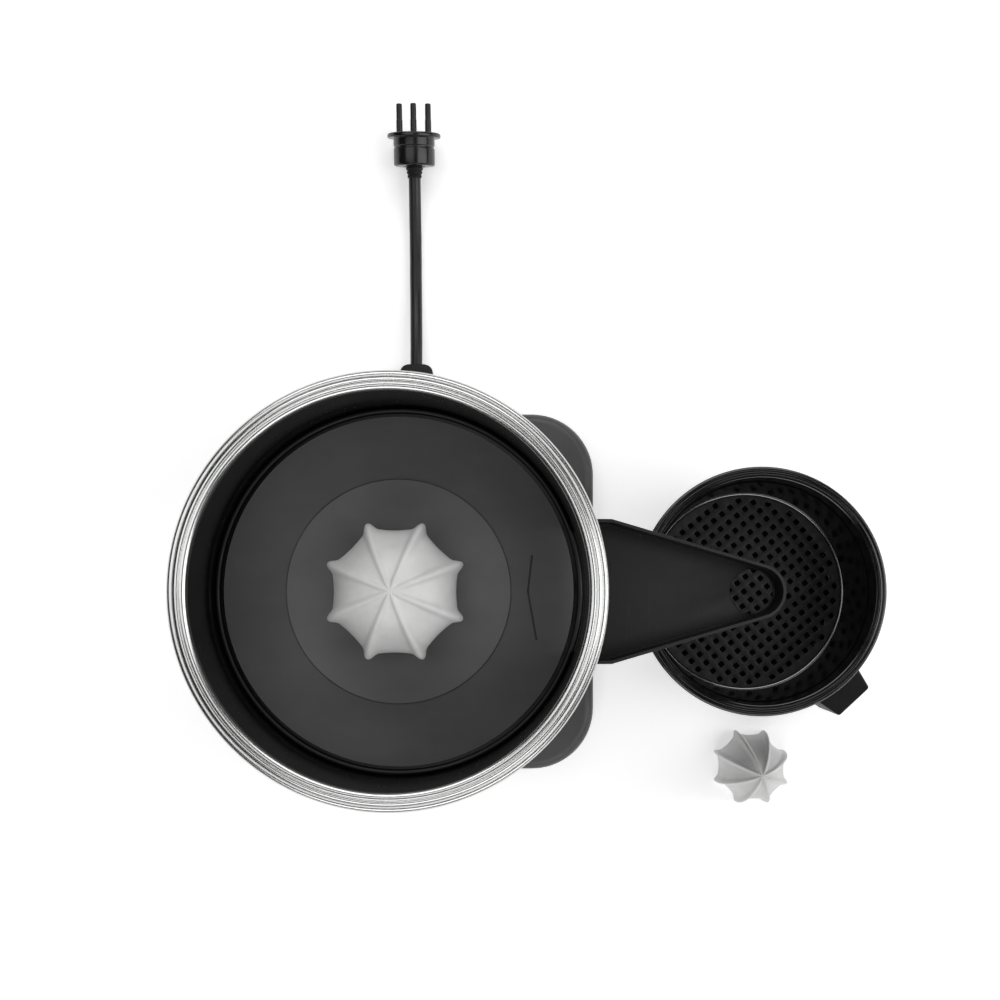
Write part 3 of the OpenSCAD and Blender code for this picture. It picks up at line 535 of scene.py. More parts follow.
# turned, brushed or rolled metal
def turnedMetal(name, look):
    material, tree, shader, place = newMaterial(name)
    base = look["colour"]
    lines = useEffect(tree, "lines", place, density=look["density"])
    smear = useEffect(tree, "smears", place)["Smear"]
    scratch = useEffect(tree, "scratches", place, density=scratchDensity["metal"])["Scratch"]
    wear = useEffect(tree, "wear", place, width=rubbedWidth)["Wear"]
    streaked = mixColours(tree, lines["Streak"], [c * look.get("dark", 0.86) for c in base], base)
    rubbed = mixColours(tree, maths(tree, "MULTIPLY", wear, 0.5), streaked, [min(1, c * 1.15) for c in base])
    tree.links.new(rubbed, shader.inputs["Base Color"])
    rough = look["roughness"]
    spread = look.get("spread", 0.2)
    gloss = rescale(tree, lines["Streak"], 0.0, 1.0, rough * (1 + spread), rough * (1 - spread * 0.75))
    wiped = maths(tree, "MULTIPLY_ADD", smear, look.get("smear", 0.06))
    tree.links.new(gloss, wiped.node.inputs[2])
    scored = maths(tree, "MULTIPLY_ADD", scratch, look.get("scratch", 0.08))
    tree.links.new(wiped, scored.node.inputs[2])
    tree.links.new(scored, shader.inputs["Roughness"])
    addBump(tree, shader, lines["Height"], look.get("bump", 0.2), 0.00003)
    shader.inputs["Metallic"].default_value = 1.0
    return material


def copperWinding(name, look):  # lacquered wire laid side by side
    material, tree, shader, place = newMaterial(name)
    split = addNode(tree, "ShaderNodeSeparateXYZ", {"Vector": place}).outputs
    turns = maths(tree, "SINE", maths(tree, "MULTIPLY", split["Y"], 2 * math.pi / look["wire"]))
    grain = useEffect(tree, "grain", place, grain=900.0, mottle=60.0)
    shade = mixColours(tree, grain["Tone"], [c * 0.6 for c in look["colour"]], look["colour"])
    # painted shade: the copper turns nearly black in the grooves between the wire turns, where shade falls
    tree.links.new(mixColours(tree, rescale(tree, turns, -1.0, 0.2), (0.05, 0.02, 0.01), shade),
                   shader.inputs["Base Color"])
    tree.links.new(rescale(tree, grain["Tone"], 0.0, 1.0, 0.25, 0.4), shader.inputs["Roughness"])
    addBump(tree, shader, turns, 0.6, 0.0002)
    shader.inputs["Metallic"].default_value = 1.0
    shader.inputs["Coat Weight"].default_value = 0.5
    return material


def lamination(name, look):  # stack of punched sheets, seen on its sides
    material, tree, shader, place = newMaterial(name)
    split = addNode(tree, "ShaderNodeSeparateXYZ", {"Vector": place}).outputs
    sheets = maths(tree, "FRACT", maths(tree, "MULTIPLY", split["Z"], 1 / look["sheet"]))
    gap = rescale(tree, sheets, 0.0, 0.22, 1.0, 0.0)
    grain = useEffect(tree, "grain", place, grain=1200.0, mottle=70.0)
    shade = mixColours(tree, grain["Tone"], [c * 0.75 for c in look["colour"]], look["colour"])
    rust = rescale(tree, noiseOf(tree, place, 160.0, 5.0, 0.7), 0.62, 0.75)
    stained = mixColours(tree, maths(tree, "MULTIPLY", rust, 0.35), shade, (0.12, 0.055, 0.03))
    tree.links.new(mixColours(tree, maths(tree, "MULTIPLY", gap, 0.7), stained, (0.01, 0.01, 0.01)),
                   shader.inputs["Base Color"])
    tree.links.new(rescale(tree, rust, 0.0, 1.0, 0.42, 0.8), shader.inputs["Roughness"])
    addBump(tree, shader, sheets, 0.4, 0.0001)
    shader.inputs["Metallic"].default_value = 0.8
    return material


# ---- finishes ----

plasticLooks = {
    "bowlBlack": {"colour": (0.003, 0.003, 0.0031), "roughness": 0.16, "grain": 500.0, "bump": 0.04,
                  "dust": 0.004, "pale": 0.03, "wear": 0.5, "scratch": 0.03, "specular": 0.25},
    "cupBlack": {"colour": (0.0025, 0.0025, 0.0026), "roughness": 0.13, "grain": 420.0, "bump": 0.03,
                 "dust": 0.006, "pale": 0.04, "wear": 0.7, "scratch": 0.04, "specular": 0.8},
    "sealBlack": {"colour": (0.003, 0.003, 0.003), "roughness": 0.4, "grain": 1800.0, "bump": 0.2,
                  "dust": 0.004, "pale": 0.01, "specular": 0.3},
    # floorGrey gets painted shade in its groove and along the edges where it meets other parts
    "floorGrey": {"colour": (0.082, 0.082, 0.083), "roughness": 0.62, "bump": 0.3, "dust": 0.02,
                  "pale": 0.03, "scratch": 0.12, "specular": 0.3, "paintedCreviceShade": 0.0015},
    "centreGrey": {"colour": (0.118, 0.118, 0.119), "roughness": 0.6, "bump": 0.3, "dust": 0.02,
                   "pale": 0.03, "scratch": 0.12, "specular": 0.3},
    "spoutBlack": {"colour": (0.007, 0.007, 0.0072), "roughness": 0.38, "bump": 0.25, "dust": 0.012,
                   "pale": 0.05, "wear": 0.5, "specular": 0.32},
    "reamerWhite": {"colour": (0.7, 0.7, 0.695), "roughness": 0.42, "grain": 900.0, "bump": 0.1,
                    "dust": 0.03, "pale": 0.05, "mottle": 40.0, "scratch": 0.05},
    "handleBlack": {"colour": (0.003, 0.003, 0.0031), "roughness": 0.5, "bump": 0.5, "dust": 0.008,
                    "pale": 0.04, "specular": 0.22},
    "meshBlack": {"colour": (0.012, 0.012, 0.0122), "roughness": 0.45, "bump": 0.2, "dust": 0.02,
                  "pale": 0.04, "specular": 0.35},
    "plinthGrey": {"colour": (0.07, 0.07, 0.0715), "roughness": 0.42, "grain": 1300.0, "bump": 0.4,
                   "dust": 0.04, "pale": 0.08, "wear": 0.6},
    "deckBlack": {"colour": (0.018, 0.018, 0.0185), "roughness": 0.45, "dust": 0.06, "pale": 0.05},
    "rubberBlack": {"colour": (0.012, 0.012, 0.0125), "roughness": 0.68, "grain": 2200.0, "bump": 0.5,
                    "dust": 0.05, "pale": 0.04, "specular": 0.3},
    "cordSkin": {"colour": (0.008, 0.008, 0.0082), "roughness": 0.38, "grain": 1800.0, "bump": 0.25,
                 "dust": 0.03, "pale": 0.03},
    "plugBlack": {"colour": (0.006, 0.006, 0.0062), "roughness": 0.22, "grain": 900.0, "bump": 0.1,
                  "dust": 0.02, "pale": 0.05, "wear": 0.6},
    "pinBlack": {"colour": (0.008, 0.008, 0.0082), "roughness": 0.3, "bump": 0.1, "dust": 0.01,
                 "pale": 0.12, "wear": 0.7},
    "gearWhite": {"colour": (0.66, 0.63, 0.56), "roughness": 0.36, "bump": 0.12, "dust": 0.05, "pale": 0.1},
    "terminalCream": {"colour": (0.62, 0.58, 0.48), "roughness": 0.4, "bump": 0.15, "dust": 0.05,
                      "pale": 0.1},
    "wireBrown": {"colour": (0.16, 0.06, 0.025), "roughness": 0.4, "bump": 0.1, "dust": 0.03, "pale": 0.05},
}
metalLooks = {
    "drumSteel": {"colour": (0.56, 0.56, 0.555), "roughness": 0.26, "density": 5200.0, "bump": 0.25,
                  "dark": 0.88, "spread": 0.14},
    "rimSteel": {"colour": (0.62, 0.62, 0.615), "roughness": 0.24, "density": 2500.0, "bump": 0.0,
                 "dark": 0.98, "smear": 0.02, "scratch": 0.0, "spread": 0.04},
    "trimSteel": {"colour": (0.2, 0.2, 0.2), "roughness": 0.16, "density": 2500.0, "bump": 0.02,
                  "dark": 0.95},
    "zincPlate": {"colour": (0.5, 0.51, 0.52), "roughness": 0.36, "density": 900.0, "bump": 0.08},
    "bronze": {"colour": (0.5, 0.33, 0.15), "roughness": 0.34, "density": 3500.0, "bump": 0.2},
    "shaftSteel": {"colour": (0.6, 0.6, 0.61), "roughness": 0.2, "density": 5200.0, "bump": 0.2},
}
finishes = {name: mouldedPlastic(name, look) for name, look in plasticLooks.items()}
finishes.update({name: turnedMetal(name, look) for name, look in metalLooks.items()})
finishes["copper"] = copperWinding("copper", {"colour": (0.55, 0.2, 0.08), "wire": 0.0008})
finishes["lamination"] = lamination("lamination", {"colour": (0.28, 0.28, 0.29), "sheet": 0.0005})
print("finishes mixed:", len(finishes))


def paint(piece, finish):
    piece.data.materials.clear()
    piece.data.materials.append(finishes[finish])
    return piece


def setPiece(piece, body, finish, slot, *nodes):
    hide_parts(*nodes)
    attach(piece, body)
    return paint(piece, finish)


# ---- cord sleeve: a flat-oval boot with bending slots ----

sleeveLook = {"flangeWidth": 0.020, "neckWidth": 0.014, "neckHeight": 0.005, "rootWidth": 0.022,
              "width": 0.018, "height": 0.0074, "tipWidth": 0.010, "slots": 5, "slotDepth": 0.0007}


def ovalRing(y, width, height, z, steps=48):
    ring = []
    for k in range(steps):
        a = 2 * math.pi * k / steps
        ring.append(Vector((
            width / 2 * math.copysign(abs(math.cos(a)) ** 0.72, math.cos(a)), y,
            z + height / 2 * math.copysign(abs(math.sin(a)) ** 0.72, math.sin(a)),
        )))
    return ring


def makeCordSleeve():
    low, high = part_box("cord_gland")
    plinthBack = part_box("plinth_shell")[1].y
    z = route[0].z
    look = sleeveLook
    wall = plinthBack - 0.0025
    sections = [
        (low.y, look["flangeWidth"] - 0.0006, look["neckHeight"] - 0.0006),
        (low.y + 0.0004, look["flangeWidth"], look["neckHeight"]),
        (wall - 0.0003, look["flangeWidth"], look["neckHeight"]),
        (wall - 0.0002, look["neckWidth"], look["neckHeight"]),
        (plinthBack + 0.0001, look["neckWidth"], look["neckHeight"]),
        (plinthBack + 0.0002, look["rootWidth"] - 0.0008, look["height"] - 0.0008),
        (plinthBack + 0.0008, look["rootWidth"], look["height"]),
    ]
    start, end = plinthBack + 0.002, high.y - 0.0045
    steps = look["slots"] * 8
    for k in range(steps + 1):
        t = k / steps
        width = look["rootWidth"] + (look["width"] - look["rootWidth"]) * t
        cut = look["slotDepth"] * max(0.0, math.sin(2 * math.pi * look["slots"] * t)) ** 0.5
        sections.append((start + (end - start) * t, width - 2 * cut, look["height"] - 1.2 * cut))
    for t in (0.3, 0.55, 0.75, 0.9, 1.0):
        bend = 1 - math.sqrt(1 - t * t * 0.98)
        sections.append((end + (high.y - end) * t, look["width"] - (look["width"] - look["tipWidth"]) * bend,
                         look["height"] - 0.0005 * t))
    rings = [ovalRing(y, w, h, z) for y, w, h in sections]
    return setPiece(skin("cordSleeve", rings, caps=True, sharp=40), "housing", "rubberBlack", "rubber",
                    "cord_gland")


makeCordSleeve()
paint(powerCord, "cordSkin")
paint(plugBoot, "rubberBlack")
paint(plugBody, "plugBlack")
paint(plugPins, "pinBlack")


# ---- reaming cones ----

def hexRadius(half, angle):
    return half / math.cos((angle + math.pi / 6) % (math.pi / 3) - math.pi / 6)


coneEdge = 0.985  # share of the radius where the edge has turned under
hubGap = 0.0029  # the large cone's hub stops this far above the sleeve
socketGap = 0.0003  # play between the spindle's end and the socket
smallCrown = 0.015  # thickness of the small cone above its socket
coneLooks = {
    "large": {"dome": 0.83, "ribs": 8, "crest": 0.0021, "flare": 0.0046, "shell": 0.0024, "hub": 0.0085,
              "hex": 0.0052},
    "small": {"dome": 0.8, "ribs": 8, "crest": 0.0013, "flare": 0.0034, "shell": 0.002, "hub": 0.0076,
              "hex": 0.0052},
}


def sectorAngles(ribs, steps=34):
    angles = []
    for rib in range(ribs):
        for k in range(steps):
            s = 2 * k / steps - 1
            u = math.copysign(abs(s) ** 1.6, s)  # close together beside the rib
            angles.append((rib + 0.5 + u / 2) * 2 * math.pi / ribs)
    return angles


# ribs rise out of a dome towards its edge, with hollow flanks, as on an opened umbrella
def coneRings(look, earR, valleyR, height, angles):
    rings = []
    rows = 46
    for row in range(rows + 1):
        t = (row / rows) ** 0.9
        theta = math.pi / 2 * t
        flat = math.sin(theta)
        drop = math.cos(theta)
        ring = []
        for a in angles:
            away = (a / (2 * math.pi) * look["ribs"] - 0.5) % 1
            off = min(away, 1 - away) * 2 * math.pi / look["ribs"]
            side = max(valleyR * flat, 0.0004) * math.sin(off)
            width = 0.4 + 0.6 * flat
            crest = math.exp(-(side / (look["crest"] * width)) ** 2.6)
            flank = math.exp(-(side / (look["flare"] * width)) ** 1.5)
            share = 0.7 * crest + 0.3 * flank
            # the edge runs nearly straight from rib to rib
            between = math.pi / look["ribs"] - off
            body = valleyR * (1 + (1 / math.cos(between) - 1) * 0.85 * flat)
            r = (body + (earR - body) * share * flat ** 1.1) * flat
            z = height * drop * (0.965 + 0.035 * share)
            ring.append(Vector((r * math.cos(a), r * math.sin(a), z)))
        rings.append(ring)
    return rings


def makeCone(name, look, centre, low, earR, height, hubLow, socketTop):
    angles = sectorAngles(look["ribs"])
    valleyR = earR * look["dome"]
    outer = coneRings(look, earR, valleyR, height, angles)[1:]
    rolled = [Vector((p.x * coneEdge, p.y * coneEdge, 0)) for p in outer[-1]]
    inR, inH = valleyR - look["shell"], height * 0.965 - look["shell"]

    def circleRing(r, z):
        return [Vector((r * math.cos(a), r * math.sin(a), z)) for a in angles]

    inner = []
    rows = 20
    hubAngle = math.asin(look["hub"] / inR)
    for k in range(rows + 1):
        theta = math.pi / 2 + (hubAngle - math.pi / 2) * k / rows
        inner.append(circleRing(inR * math.sin(theta), inH * math.cos(theta)))
    hexRing = [Vector((hexRadius(look["hex"], a) * math.cos(a), hexRadius(look["hex"], a) * math.sin(a), 0))
               for a in angles]
    well = [circleRing(look["hub"], hubLow + 0.0004), circleRing(look["hub"] - 0.0004, hubLow)]
    well += [[p + Vector((0, 0, z)) for p in hexRing] for z in (hubLow, hubLow + 0.001, socketTop)]
    apex = Vector((0, 0, height))
    rings = outer + [rolled] + inner + well
    points = [apex] + [p for ring in rings for p in ring]
    size = len(angles)
    faces = [(0, 1 + k, 1 + (k + 1) % size) for k in range(size)]
    faces += [tuple(1 + i for i in face) for face in ringFaces(rings, False)]
    last = 1 + (len(rings) - 1) * size
    faces.append(tuple(range(last, last + size)))
    place = Vector((*centre, low))
    return makeMesh(name, [p + place for p in points], faces, sharp=58)


largeLow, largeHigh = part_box("large_reamer")
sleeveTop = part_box("drive_sleeve")[1].z
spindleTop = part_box("spindle")[1].z
largeCone = makeCone(
    "largeCone", coneLooks["large"], (0, 0), largeLow.z, radiiOf("large_reamer")[1],
    largeHigh.z - largeLow.z, sleeveTop + hubGap - largeLow.z, spindleTop + socketGap - largeLow.z,
)
setPiece(largeCone, "reamer", "reamerWhite", "reamer_white", "large_reamer")

smallLow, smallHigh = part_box("small_reamer")
smallMiddle = ((smallLow.x + smallHigh.x) / 2, (smallLow.y + smallHigh.y) / 2)
smallHeight = smallHigh.z - smallLow.z
smallCone = makeCone(
    "smallCone", coneLooks["small"], smallMiddle, smallLow.z, radiiOf("small_reamer", smallMiddle)[1],
    smallHeight, 0.0, smallHeight - smallCrown,
)
setPiece(smallCone, "small_reamer", "reamerWhite", "reamer_white", "small_reamer")
print("cones made")


# ---- rim of the bowl ----

rimLook = {
    "hem": 0.0009,
    # rolled bands from the inside out: outer radius counted from the inner edge, drop at that edge, rise
    "bands": [(0.0031, 0.0007, 0.0006), (0.0054, 0.0009, 0.00042), (0.0085, 0.0024, 0.0008)],
}


def archedPath(start, ends, steps=10):
    path = []
    here = Vector(start)
    for r, z, rise in ends:
        there = Vector((r, z))
        across = there - here
        up = Vector((-across.y, across.x)).normalized()
        for k in range(steps):
            t = k / steps
            path.append(here + across * t + up * rise * 4 * t * (1 - t))
        here = there
    return path + [here]


def makeRimBand():
    low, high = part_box("rim_ring")
    inR, outR = radiiOf("rim_ring")
    top, foot = high.z, low.z
    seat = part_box("bowl_liner")[1].z
    skirtR = radiiOf("drum_shell")[1] + 0.0003
    ends = [(inR + r, top - drop, rise) for r, drop, rise in rimLook["bands"]]
    bands = archedPath((inR, top - 0.0015), ends)
    corners = [(outR, foot, rimLook["hem"]), (skirtR, foot, rimLook["hem"]), (skirtR, seat, 0.0002),
               (inR, seat, 0.0002)]
    below = roundedPath([(outR, top - 0.004, 0), *corners, (inR, top - 0.0017, 0)], closed=False)
    return setPiece(lathe("rimBand", bands + below, turns=256), "bowl", "rimSteel", "rim_steel",
                    "rim_ring")


makeRimBand()


# ---- sealing bead round the bowl's floor ----

def makeSealBead():
    low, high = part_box("bead_ring")
    minor = (high.z - low.z) / 2
    major = high.x - minor
    path = []
    for k in range(24):
        a = 2 * math.pi * k / 24
        lip = 1 + 0.06 * math.cos(3 * a)
        r = major + minor * 0.97 * lip * math.cos(a)
        path.append(Vector((r, low.z + minor * (1 + 0.94 * math.sin(a)))))
    return setPiece(lathe("sealBead", path, turns=256), "bowl", "sealBlack", "seal_black", "bead_ring")


makeSealBead()
print("rim and seal made")


# ---- cup, strainer basket and its mesh ----

cupLow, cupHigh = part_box("cup_wall")
cupMiddle = ((cupLow.x + cupHigh.x) / 2, (cupLow.y + cupHigh.y) / 2)
basketLow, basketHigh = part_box("strainer_basket")
meshLow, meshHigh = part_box("strainer_mesh")
cupLook = {"wall": 0.0022, "floor": 0.003, "baseInset": 0.0046, "sideInset": 0.0012, "lip": 0.002}


def makeCupWall():
    rimR = (cupHigh.x - cupLow.x) / 2
    side, base = rimR - cupLook["sideInset"], rimR - cupLook["baseInset"]
    top, wall, floor = cupHigh.z, cupLook["wall"], cupLook["floor"]
    lipLow = top - cupLook["lip"]
    slope = (side - base) / top
    corners = [
        (0.0002, 0.001, 0), (base - 0.006, 0.001, 0.0005), (base - 0.005, 0, 0.0004), (base, 0, 0.0016),
        (base + slope * lipLow, lipLow, 0.0004), (rimR, lipLow, 0.0007), (rimR, top, 0.0008),
        (side - wall, top, 0.0006), (base - wall + slope * floor, floor, 0.003), (0.0002, floor, 0),
    ]
    return setPiece(
        lathe("cupWall", roundedPath(corners, closed=False), centre=cupMiddle, turns=224, closed=False,
              caps=True),
        "cup", "cupBlack", "gloss_black", "cup_wall",
    )


basketLook = {"wall": 0.0016, "ledge": 0.0016, "step": 0.003, "groove": 0.0007}


def ringPath(r, z, minor, steps=16):
    angles = [2 * math.pi * k / steps for k in range(steps)]
    return [Vector((r + minor * math.cos(a), z + minor * math.sin(a))) for a in angles]


def makeBasket():
    flangeR = (basketHigh.x - basketLow.x) / 2
    plateR = (meshHigh.x - meshLow.x) / 2
    top, plate, foot = basketHigh.z, meshHigh.z, basketLow.z
    seat = cupHigh.z
    outTop, wall = flangeR - 0.0034, basketLook["wall"]
    outLow = outTop - 0.0036
    step = plate + basketLook["step"]
    thin = meshHigh.z - meshLow.z
    ledge = plateR - basketLook["ledge"]
    groove = top - basketLook["groove"]
    corners = [
        (ledge, foot, 0.0002), (outLow, foot, 0.0008), (outLow, step, 0.001), (outTop, seat, 0.0002),
        (flangeR, seat, 0.0003), (flangeR, top, 0.0006), (flangeR - 0.0013, top, 0.0006),
        (flangeR - 0.0015, groove, 0.0001), (flangeR - 0.0018, groove, 0.0001),
        (flangeR - 0.0020, top, 0.0006), (flangeR - 0.0033, top, 0.0006), (flangeR - 0.0035, groove, 0.0001),
        (outTop - wall + 0.0006, groove, 0.0002), (outTop - wall, top - 0.0011, 0.0005),
        (outTop - wall - 0.0006, top - 0.012, 0.0006), (outTop - wall - 0.0012, top - 0.0128, 0.0004),
        (outLow - wall - 0.0002, step + 0.003, 0.002), (outLow - wall - 0.0002, plate + 0.0012, 0.0003),
        (outLow - wall - 0.0005, plate + 0.0012, 0.0001), (outLow - wall - 0.0007, plate + 0.002, 0.0007),
        (plateR + 0.0001, plate + 0.002, 0.0007), (plateR - 0.0002, plate, 0.0001),
        (plateR, plate - 0.0001, 0),
        (plateR, plate - thin, 0), (ledge, plate - thin, 0.0001),
    ]
    wall = lathe("basketWall", roundedPath(corners), centre=cupMiddle, turns=224)
    wallFaces = len(wall.data.polygons)
    ring = lathe("basketRing", ringPath(plateR + 0.0007, plate + 0.0018, 0.0013), centre=cupMiddle, turns=224)
    basket = joinPieces("strainerBasket", [wall, ring])
    setPiece(basket, "strainer", "cupBlack", "gloss_black", "strainer_basket")
    basket.data.materials.append(finishes["trimSteel"])
    for face in basket.data.polygons[wallFaces:]:
        face.material_index = 1
    return basket


meshLook = {"pitch": 0.00555, "hole": 0.0026, "turn": 39, "edge": 0.00025, "corner": 0.0005, "margin": 0.0023}


def holeLoop(middle, half, corner, turn):
    loop = []
    for k in range(4):
        side = math.pi / 2 * k
        for step in (0, 0.5, 1):
            a = side + math.pi / 2 * step
            out = half - corner
            reach = Vector((math.cos(side + math.pi / 4), math.sin(side + math.pi / 4))) * out * math.sqrt(2)
            point = reach + Vector((math.cos(a), math.sin(a))) * corner
            loop.append(middle + Matrix.Rotation(turn, 2) @ point)
    return loop


# a plate with rows of square holes whose edges are softened above and below
def makeStrainerMesh():
    look = meshLook
    plateR = (meshHigh.x - meshLow.x) / 2
    thick, top = meshHigh.z - meshLow.z, meshHigh.z
    turn = math.radians(look["turn"])
    field = plateR - look["margin"]
    count = int(field / look["pitch"])
    middles = [Matrix.Rotation(turn, 2) @ Vector((i, j)) * look["pitch"]
               for i in range(-count, count + 1) for j in range(-count, count + 1)
               if math.hypot(i, j) * look["pitch"] < field]
    edge = look["edge"]
    levels = [(top, edge), (top - edge * 0.3, edge * 0.3), (top - edge, 0.0),
              (top - thick + edge, 0.0), (top - thick + edge * 0.3, edge * 0.3), (top - thick, edge)]
    turns = 160
    outline = [Vector((math.cos(2 * math.pi * k / turns), math.sin(2 * math.pi * k / turns))) * plateR
               for k in range(turns)]
    work = bmesh.new()
    centre = Vector(cupMiddle)

    def addLoop(points, z):
        return [work.verts.new((*(centre + p), z)) for p in points]

    def addWalls(loops):
        for above, below in zip(loops, loops[1:]):
            for k in range(len(above)):
                n = (k + 1) % len(above)
                work.faces.new((above[k], above[n], below[n], below[k]))

    topLoops, bottomLoops = [], []
    rim = [addLoop(outline, top), addLoop(outline, top - thick)]
    addWalls(rim)
    topLoops.append(rim[0])
    bottomLoops.append(rim[1])
    for middle in middles:
        loops = [addLoop(holeLoop(middle, look["hole"] / 2 + wider, look["corner"] + wider, turn), z)
                 for z, wider in levels]
        addWalls(loops)
        topLoops.append(loops[0])
        bottomLoops.append(loops[-1])
    for loops in (topLoops, bottomLoops):
        edges = [work.edges.get(pair) for loop in loops for pair in zip(loop, loop[1:] + loop[:1])]
        bmesh.ops.triangle_fill(work, use_beauty=True, edges=edges)
    mesh = bpy.data.meshes.new("strainerMesh")
    work.to_mesh(mesh)
    work.free()
    markSharp(mesh, creaseLimit)
    piece = bpy.data.objects.new("strainerMesh", mesh)
    bpy.context.scene.collection.objects.link(piece)
    print("strainer holes:", len(middles))
    return setPiece(piece, "strainer", "meshBlack", "mesh_black", "strainer_mesh")


makeCupWall()
makeBasket()
makeStrainerMesh()
print("cup and strainer made")


# ---- return spring under the push rod ----

def makeSpring():
    low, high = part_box("return_spring")
    wire, turns, steps = 0.00055, 5, 32
    radius = high.x - wire
    curve = bpy.data.curves.new("returnSpring", "CURVE")
    curve.dimensions = "3D"
    curve.bevel_depth = wire
    curve.bevel_resolution = 4
    curve.use_fill_caps = True
    spline = curve.splines.new("POLY")
    spline.points.add(turns * steps)
    for k, point in enumerate(spline.points):
        a = 2 * math.pi * k / steps
        t = k / (turns * steps)
        rise = min(max((t - 0.12) / 0.76, 0), 1) * 0.8 + t * 0.2  # closed end turns
        z = low.z + wire + (high.z - low.z - 2 * wire) * rise
        point.co = (radius * math.cos(a), radius * math.sin(a), z, 1)
    made = bpy.data.objects.new("returnSpringCurve", curve)
    bpy.context.scene.collection.objects.link(made)
    bpy.context.view_layer.update()
    mesh = bpy.data.meshes.new_from_object(made.evaluated_get(bpy.context.evaluated_depsgraph_get()))
    bpy.data.objects.remove(made)
    spring = bpy.data.objects.new("returnSpring", mesh)
    bpy.context.scene.collection.objects.link(spring)
    setPiece(spring, "housing", "shaftSteel", "shaft_steel", "return_spring")
    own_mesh(spring)


makeSpring()


# ---- the CAD pieces that keep their own shape ----

keptPieces = {
    "foot_ring": ("rubberBlack", 0.0004), "bottom_cover": ("plinthGrey", 0.0003),
    "cover_screws": ("zincPlate", 0.0002), "plinth_shell": ("plinthGrey", 0.0003),
    "drum_shell": ("drumSteel", 0.0003), "lower_posts": ("zincPlate", 0.0003),
    "upper_posts": ("zincPlate", 0.0003), "gear_plate": ("zincPlate", 0.0003),
    "top_deck": ("deckBlack", 0.0004), "deck_bearing": ("bronze", 0.0002),
    "plate_bush": ("bronze", 0.0002), "shaft_seal": ("rubberBlack", 0.0002),
    "stator_stack": ("lamination", 0.0003), "stator_coil": ("copper", 0.0025),
    "motor_bracket": ("zincPlate", 0.0003), "motor_studs": ("zincPlate", 0.0002),
    "rotor_bushes": ("bronze", 0.0002), "idler_axle": ("shaftSteel", 0.0003),
    "switch_body": ("deckBlack", 0.0004), "switch_bracket": ("zincPlate", 0.0002),
    "terminal_block": ("terminalCream", 0.0003), "wire_leads": ("wireBrown", 0.0001),
    "cord_tail": ("cordSkin", 0.0002), "rotor_core": ("lamination", 0.0002),
    "rotor_shaft": ("shaftSteel", 0.0003), "motor_pinion": ("bronze", 0.0001),
    "idler_gear": ("zincPlate", 0.00015), "output_gear": ("gearWhite", 0.0002),
    "drive_shaft": ("shaftSteel", 0.0003), "push_rod": ("gearWhite", 0.0003),
    "bowl_liner": ("bowlBlack", 0.0004), "floor_disc": ("floorGrey", 0.0002),
    "centre_disc": ("centreGrey", 0.0002), "spout": ("spoutBlack", 0.0004),
    "notch_cover": ("drumSteel", 0.0002), "drive_sleeve": ("gearWhite", 0.0003),
    "sleeve_clip": ("shaftSteel", 0.0001), "spindle": ("shaftSteel", 0.0004),
    "cup_handle": ("handleBlack", 0.0012),
}
for node, (finish, width) in keptPieces.items():
    softenEdges(node, width)
    paint(cadNodes[node], finish)
print("kept pieces finished:", len(keptPieces))


# ---- floor and lights ----

studioLook = {"floor": (0.9, 0.9, 0.9), "glow": 0.44, "size": 6.0, "backdrop": 0.9}
skyLook = {"dark": 0.14, "bright": 0.5, "strength": 0.05}
aimPoint = (0.06, 0, 0.05)


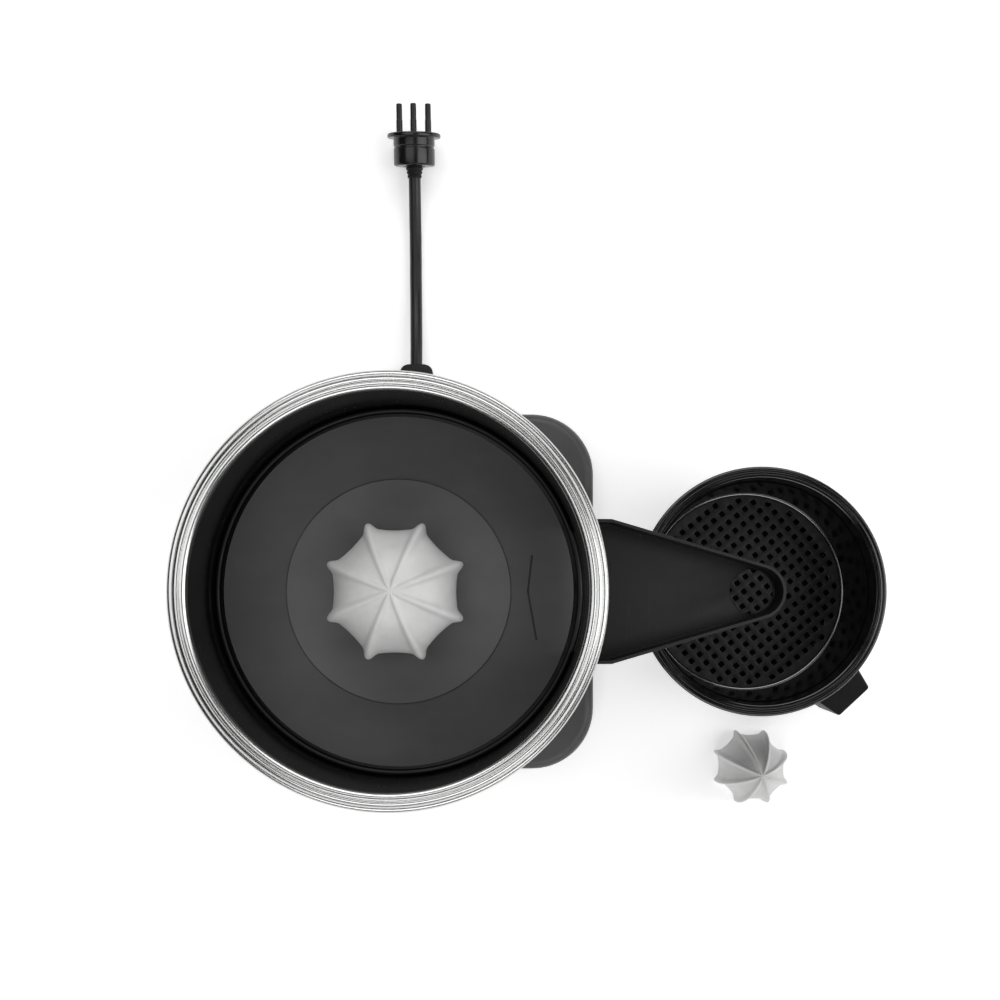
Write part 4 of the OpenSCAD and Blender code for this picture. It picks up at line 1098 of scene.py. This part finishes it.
def makeFloor():
    mesh = bpy.data.meshes.new("studioFloor")
    half = studioLook["size"] / 2
    corners = [(-half, -half, 0), (half, -half, 0), (half, half, 0), (-half, half, 0)]
    mesh.from_pydata(corners, [], [(0, 1, 2, 3)])
    floor = bpy.data.objects.new("studioFloor", mesh)
    bpy.context.scene.collection.objects.link(floor)
    floor.location.z = -0.0001
    material = bpy.data.materials.new("studioFloor")
    material.use_nodes = True
    shader = material.node_tree.nodes["Principled BSDF"]
    shader.inputs["Base Color"].default_value = (*studioLook["floor"], 1)
    shader.inputs["Roughness"].default_value = 0.9
    shader.inputs["Specular IOR Level"].default_value = 0.1
    shader.inputs["Emission Color"].default_value = (1, 1, 1, 1)
    shader.inputs["Emission Strength"].default_value = studioLook["glow"]
    mesh.materials.append(material)


def addLight(name, place, width, height, radiance):
    data = bpy.data.lights.new(name, "AREA")
    data.shape = "RECTANGLE"
    data.size, data.size_y = width, height
    data.energy = radiance * math.pi * width * height
    light = bpy.data.objects.new(name, data)
    light.location = place
    light.rotation_mode = "QUATERNION"
    light.rotation_quaternion = (Vector(aimPoint) - Vector(place)).to_track_quat("-Z", "Y")
    bpy.context.scene.collection.objects.link(light)


def makeSky():
    world = bpy.data.worlds.new("studio")
    bpy.context.scene.world = world
    world.use_nodes = True
    tree = world.node_tree
    background = tree.nodes["Background"]
    background.inputs["Color"].default_value = (1, 1, 1, 1)
    direction = addNode(tree, "ShaderNodeTexCoord").outputs["Generated"]
    split = addNode(tree, "ShaderNodeSeparateXYZ", {"Vector": direction}).outputs
    aside = maths(tree, "MULTIPLY_ADD", split["Z"], 0.45)
    tree.links.new(split["X"], aside.node.inputs[2])
    # darker low down to the left
    shade = rescale(tree, aside, -0.5, -0.1, skyLook["dark"], skyLook["bright"])
    seen = addNode(tree, "ShaderNodeLightPath").outputs["Is Camera Ray"]
    backdrop = maths(tree, "MULTIPLY", seen, studioLook["backdrop"])
    lit = maths(tree, "MULTIPLY", shade, skyLook["strength"])
    tree.links.new(maths(tree, "MAXIMUM", lit, backdrop), background.inputs["Strength"])


makeFloor()
addLight("backLight", (0.0, 0.95, 0.95), 1.5, 0.7, 2.4)
addLight("frontLight", (0.1, -0.95, 0.95), 1.5, 0.7, 2.2)
addLight("rightLight", (1.1, 0.0, 0.9), 0.7, 1.4, 2.6)
addLight("leftLight", (-0.5, 0.1, 1.4), 0.5, 1.2, 1.6)
makeSky()
print("studio lit")
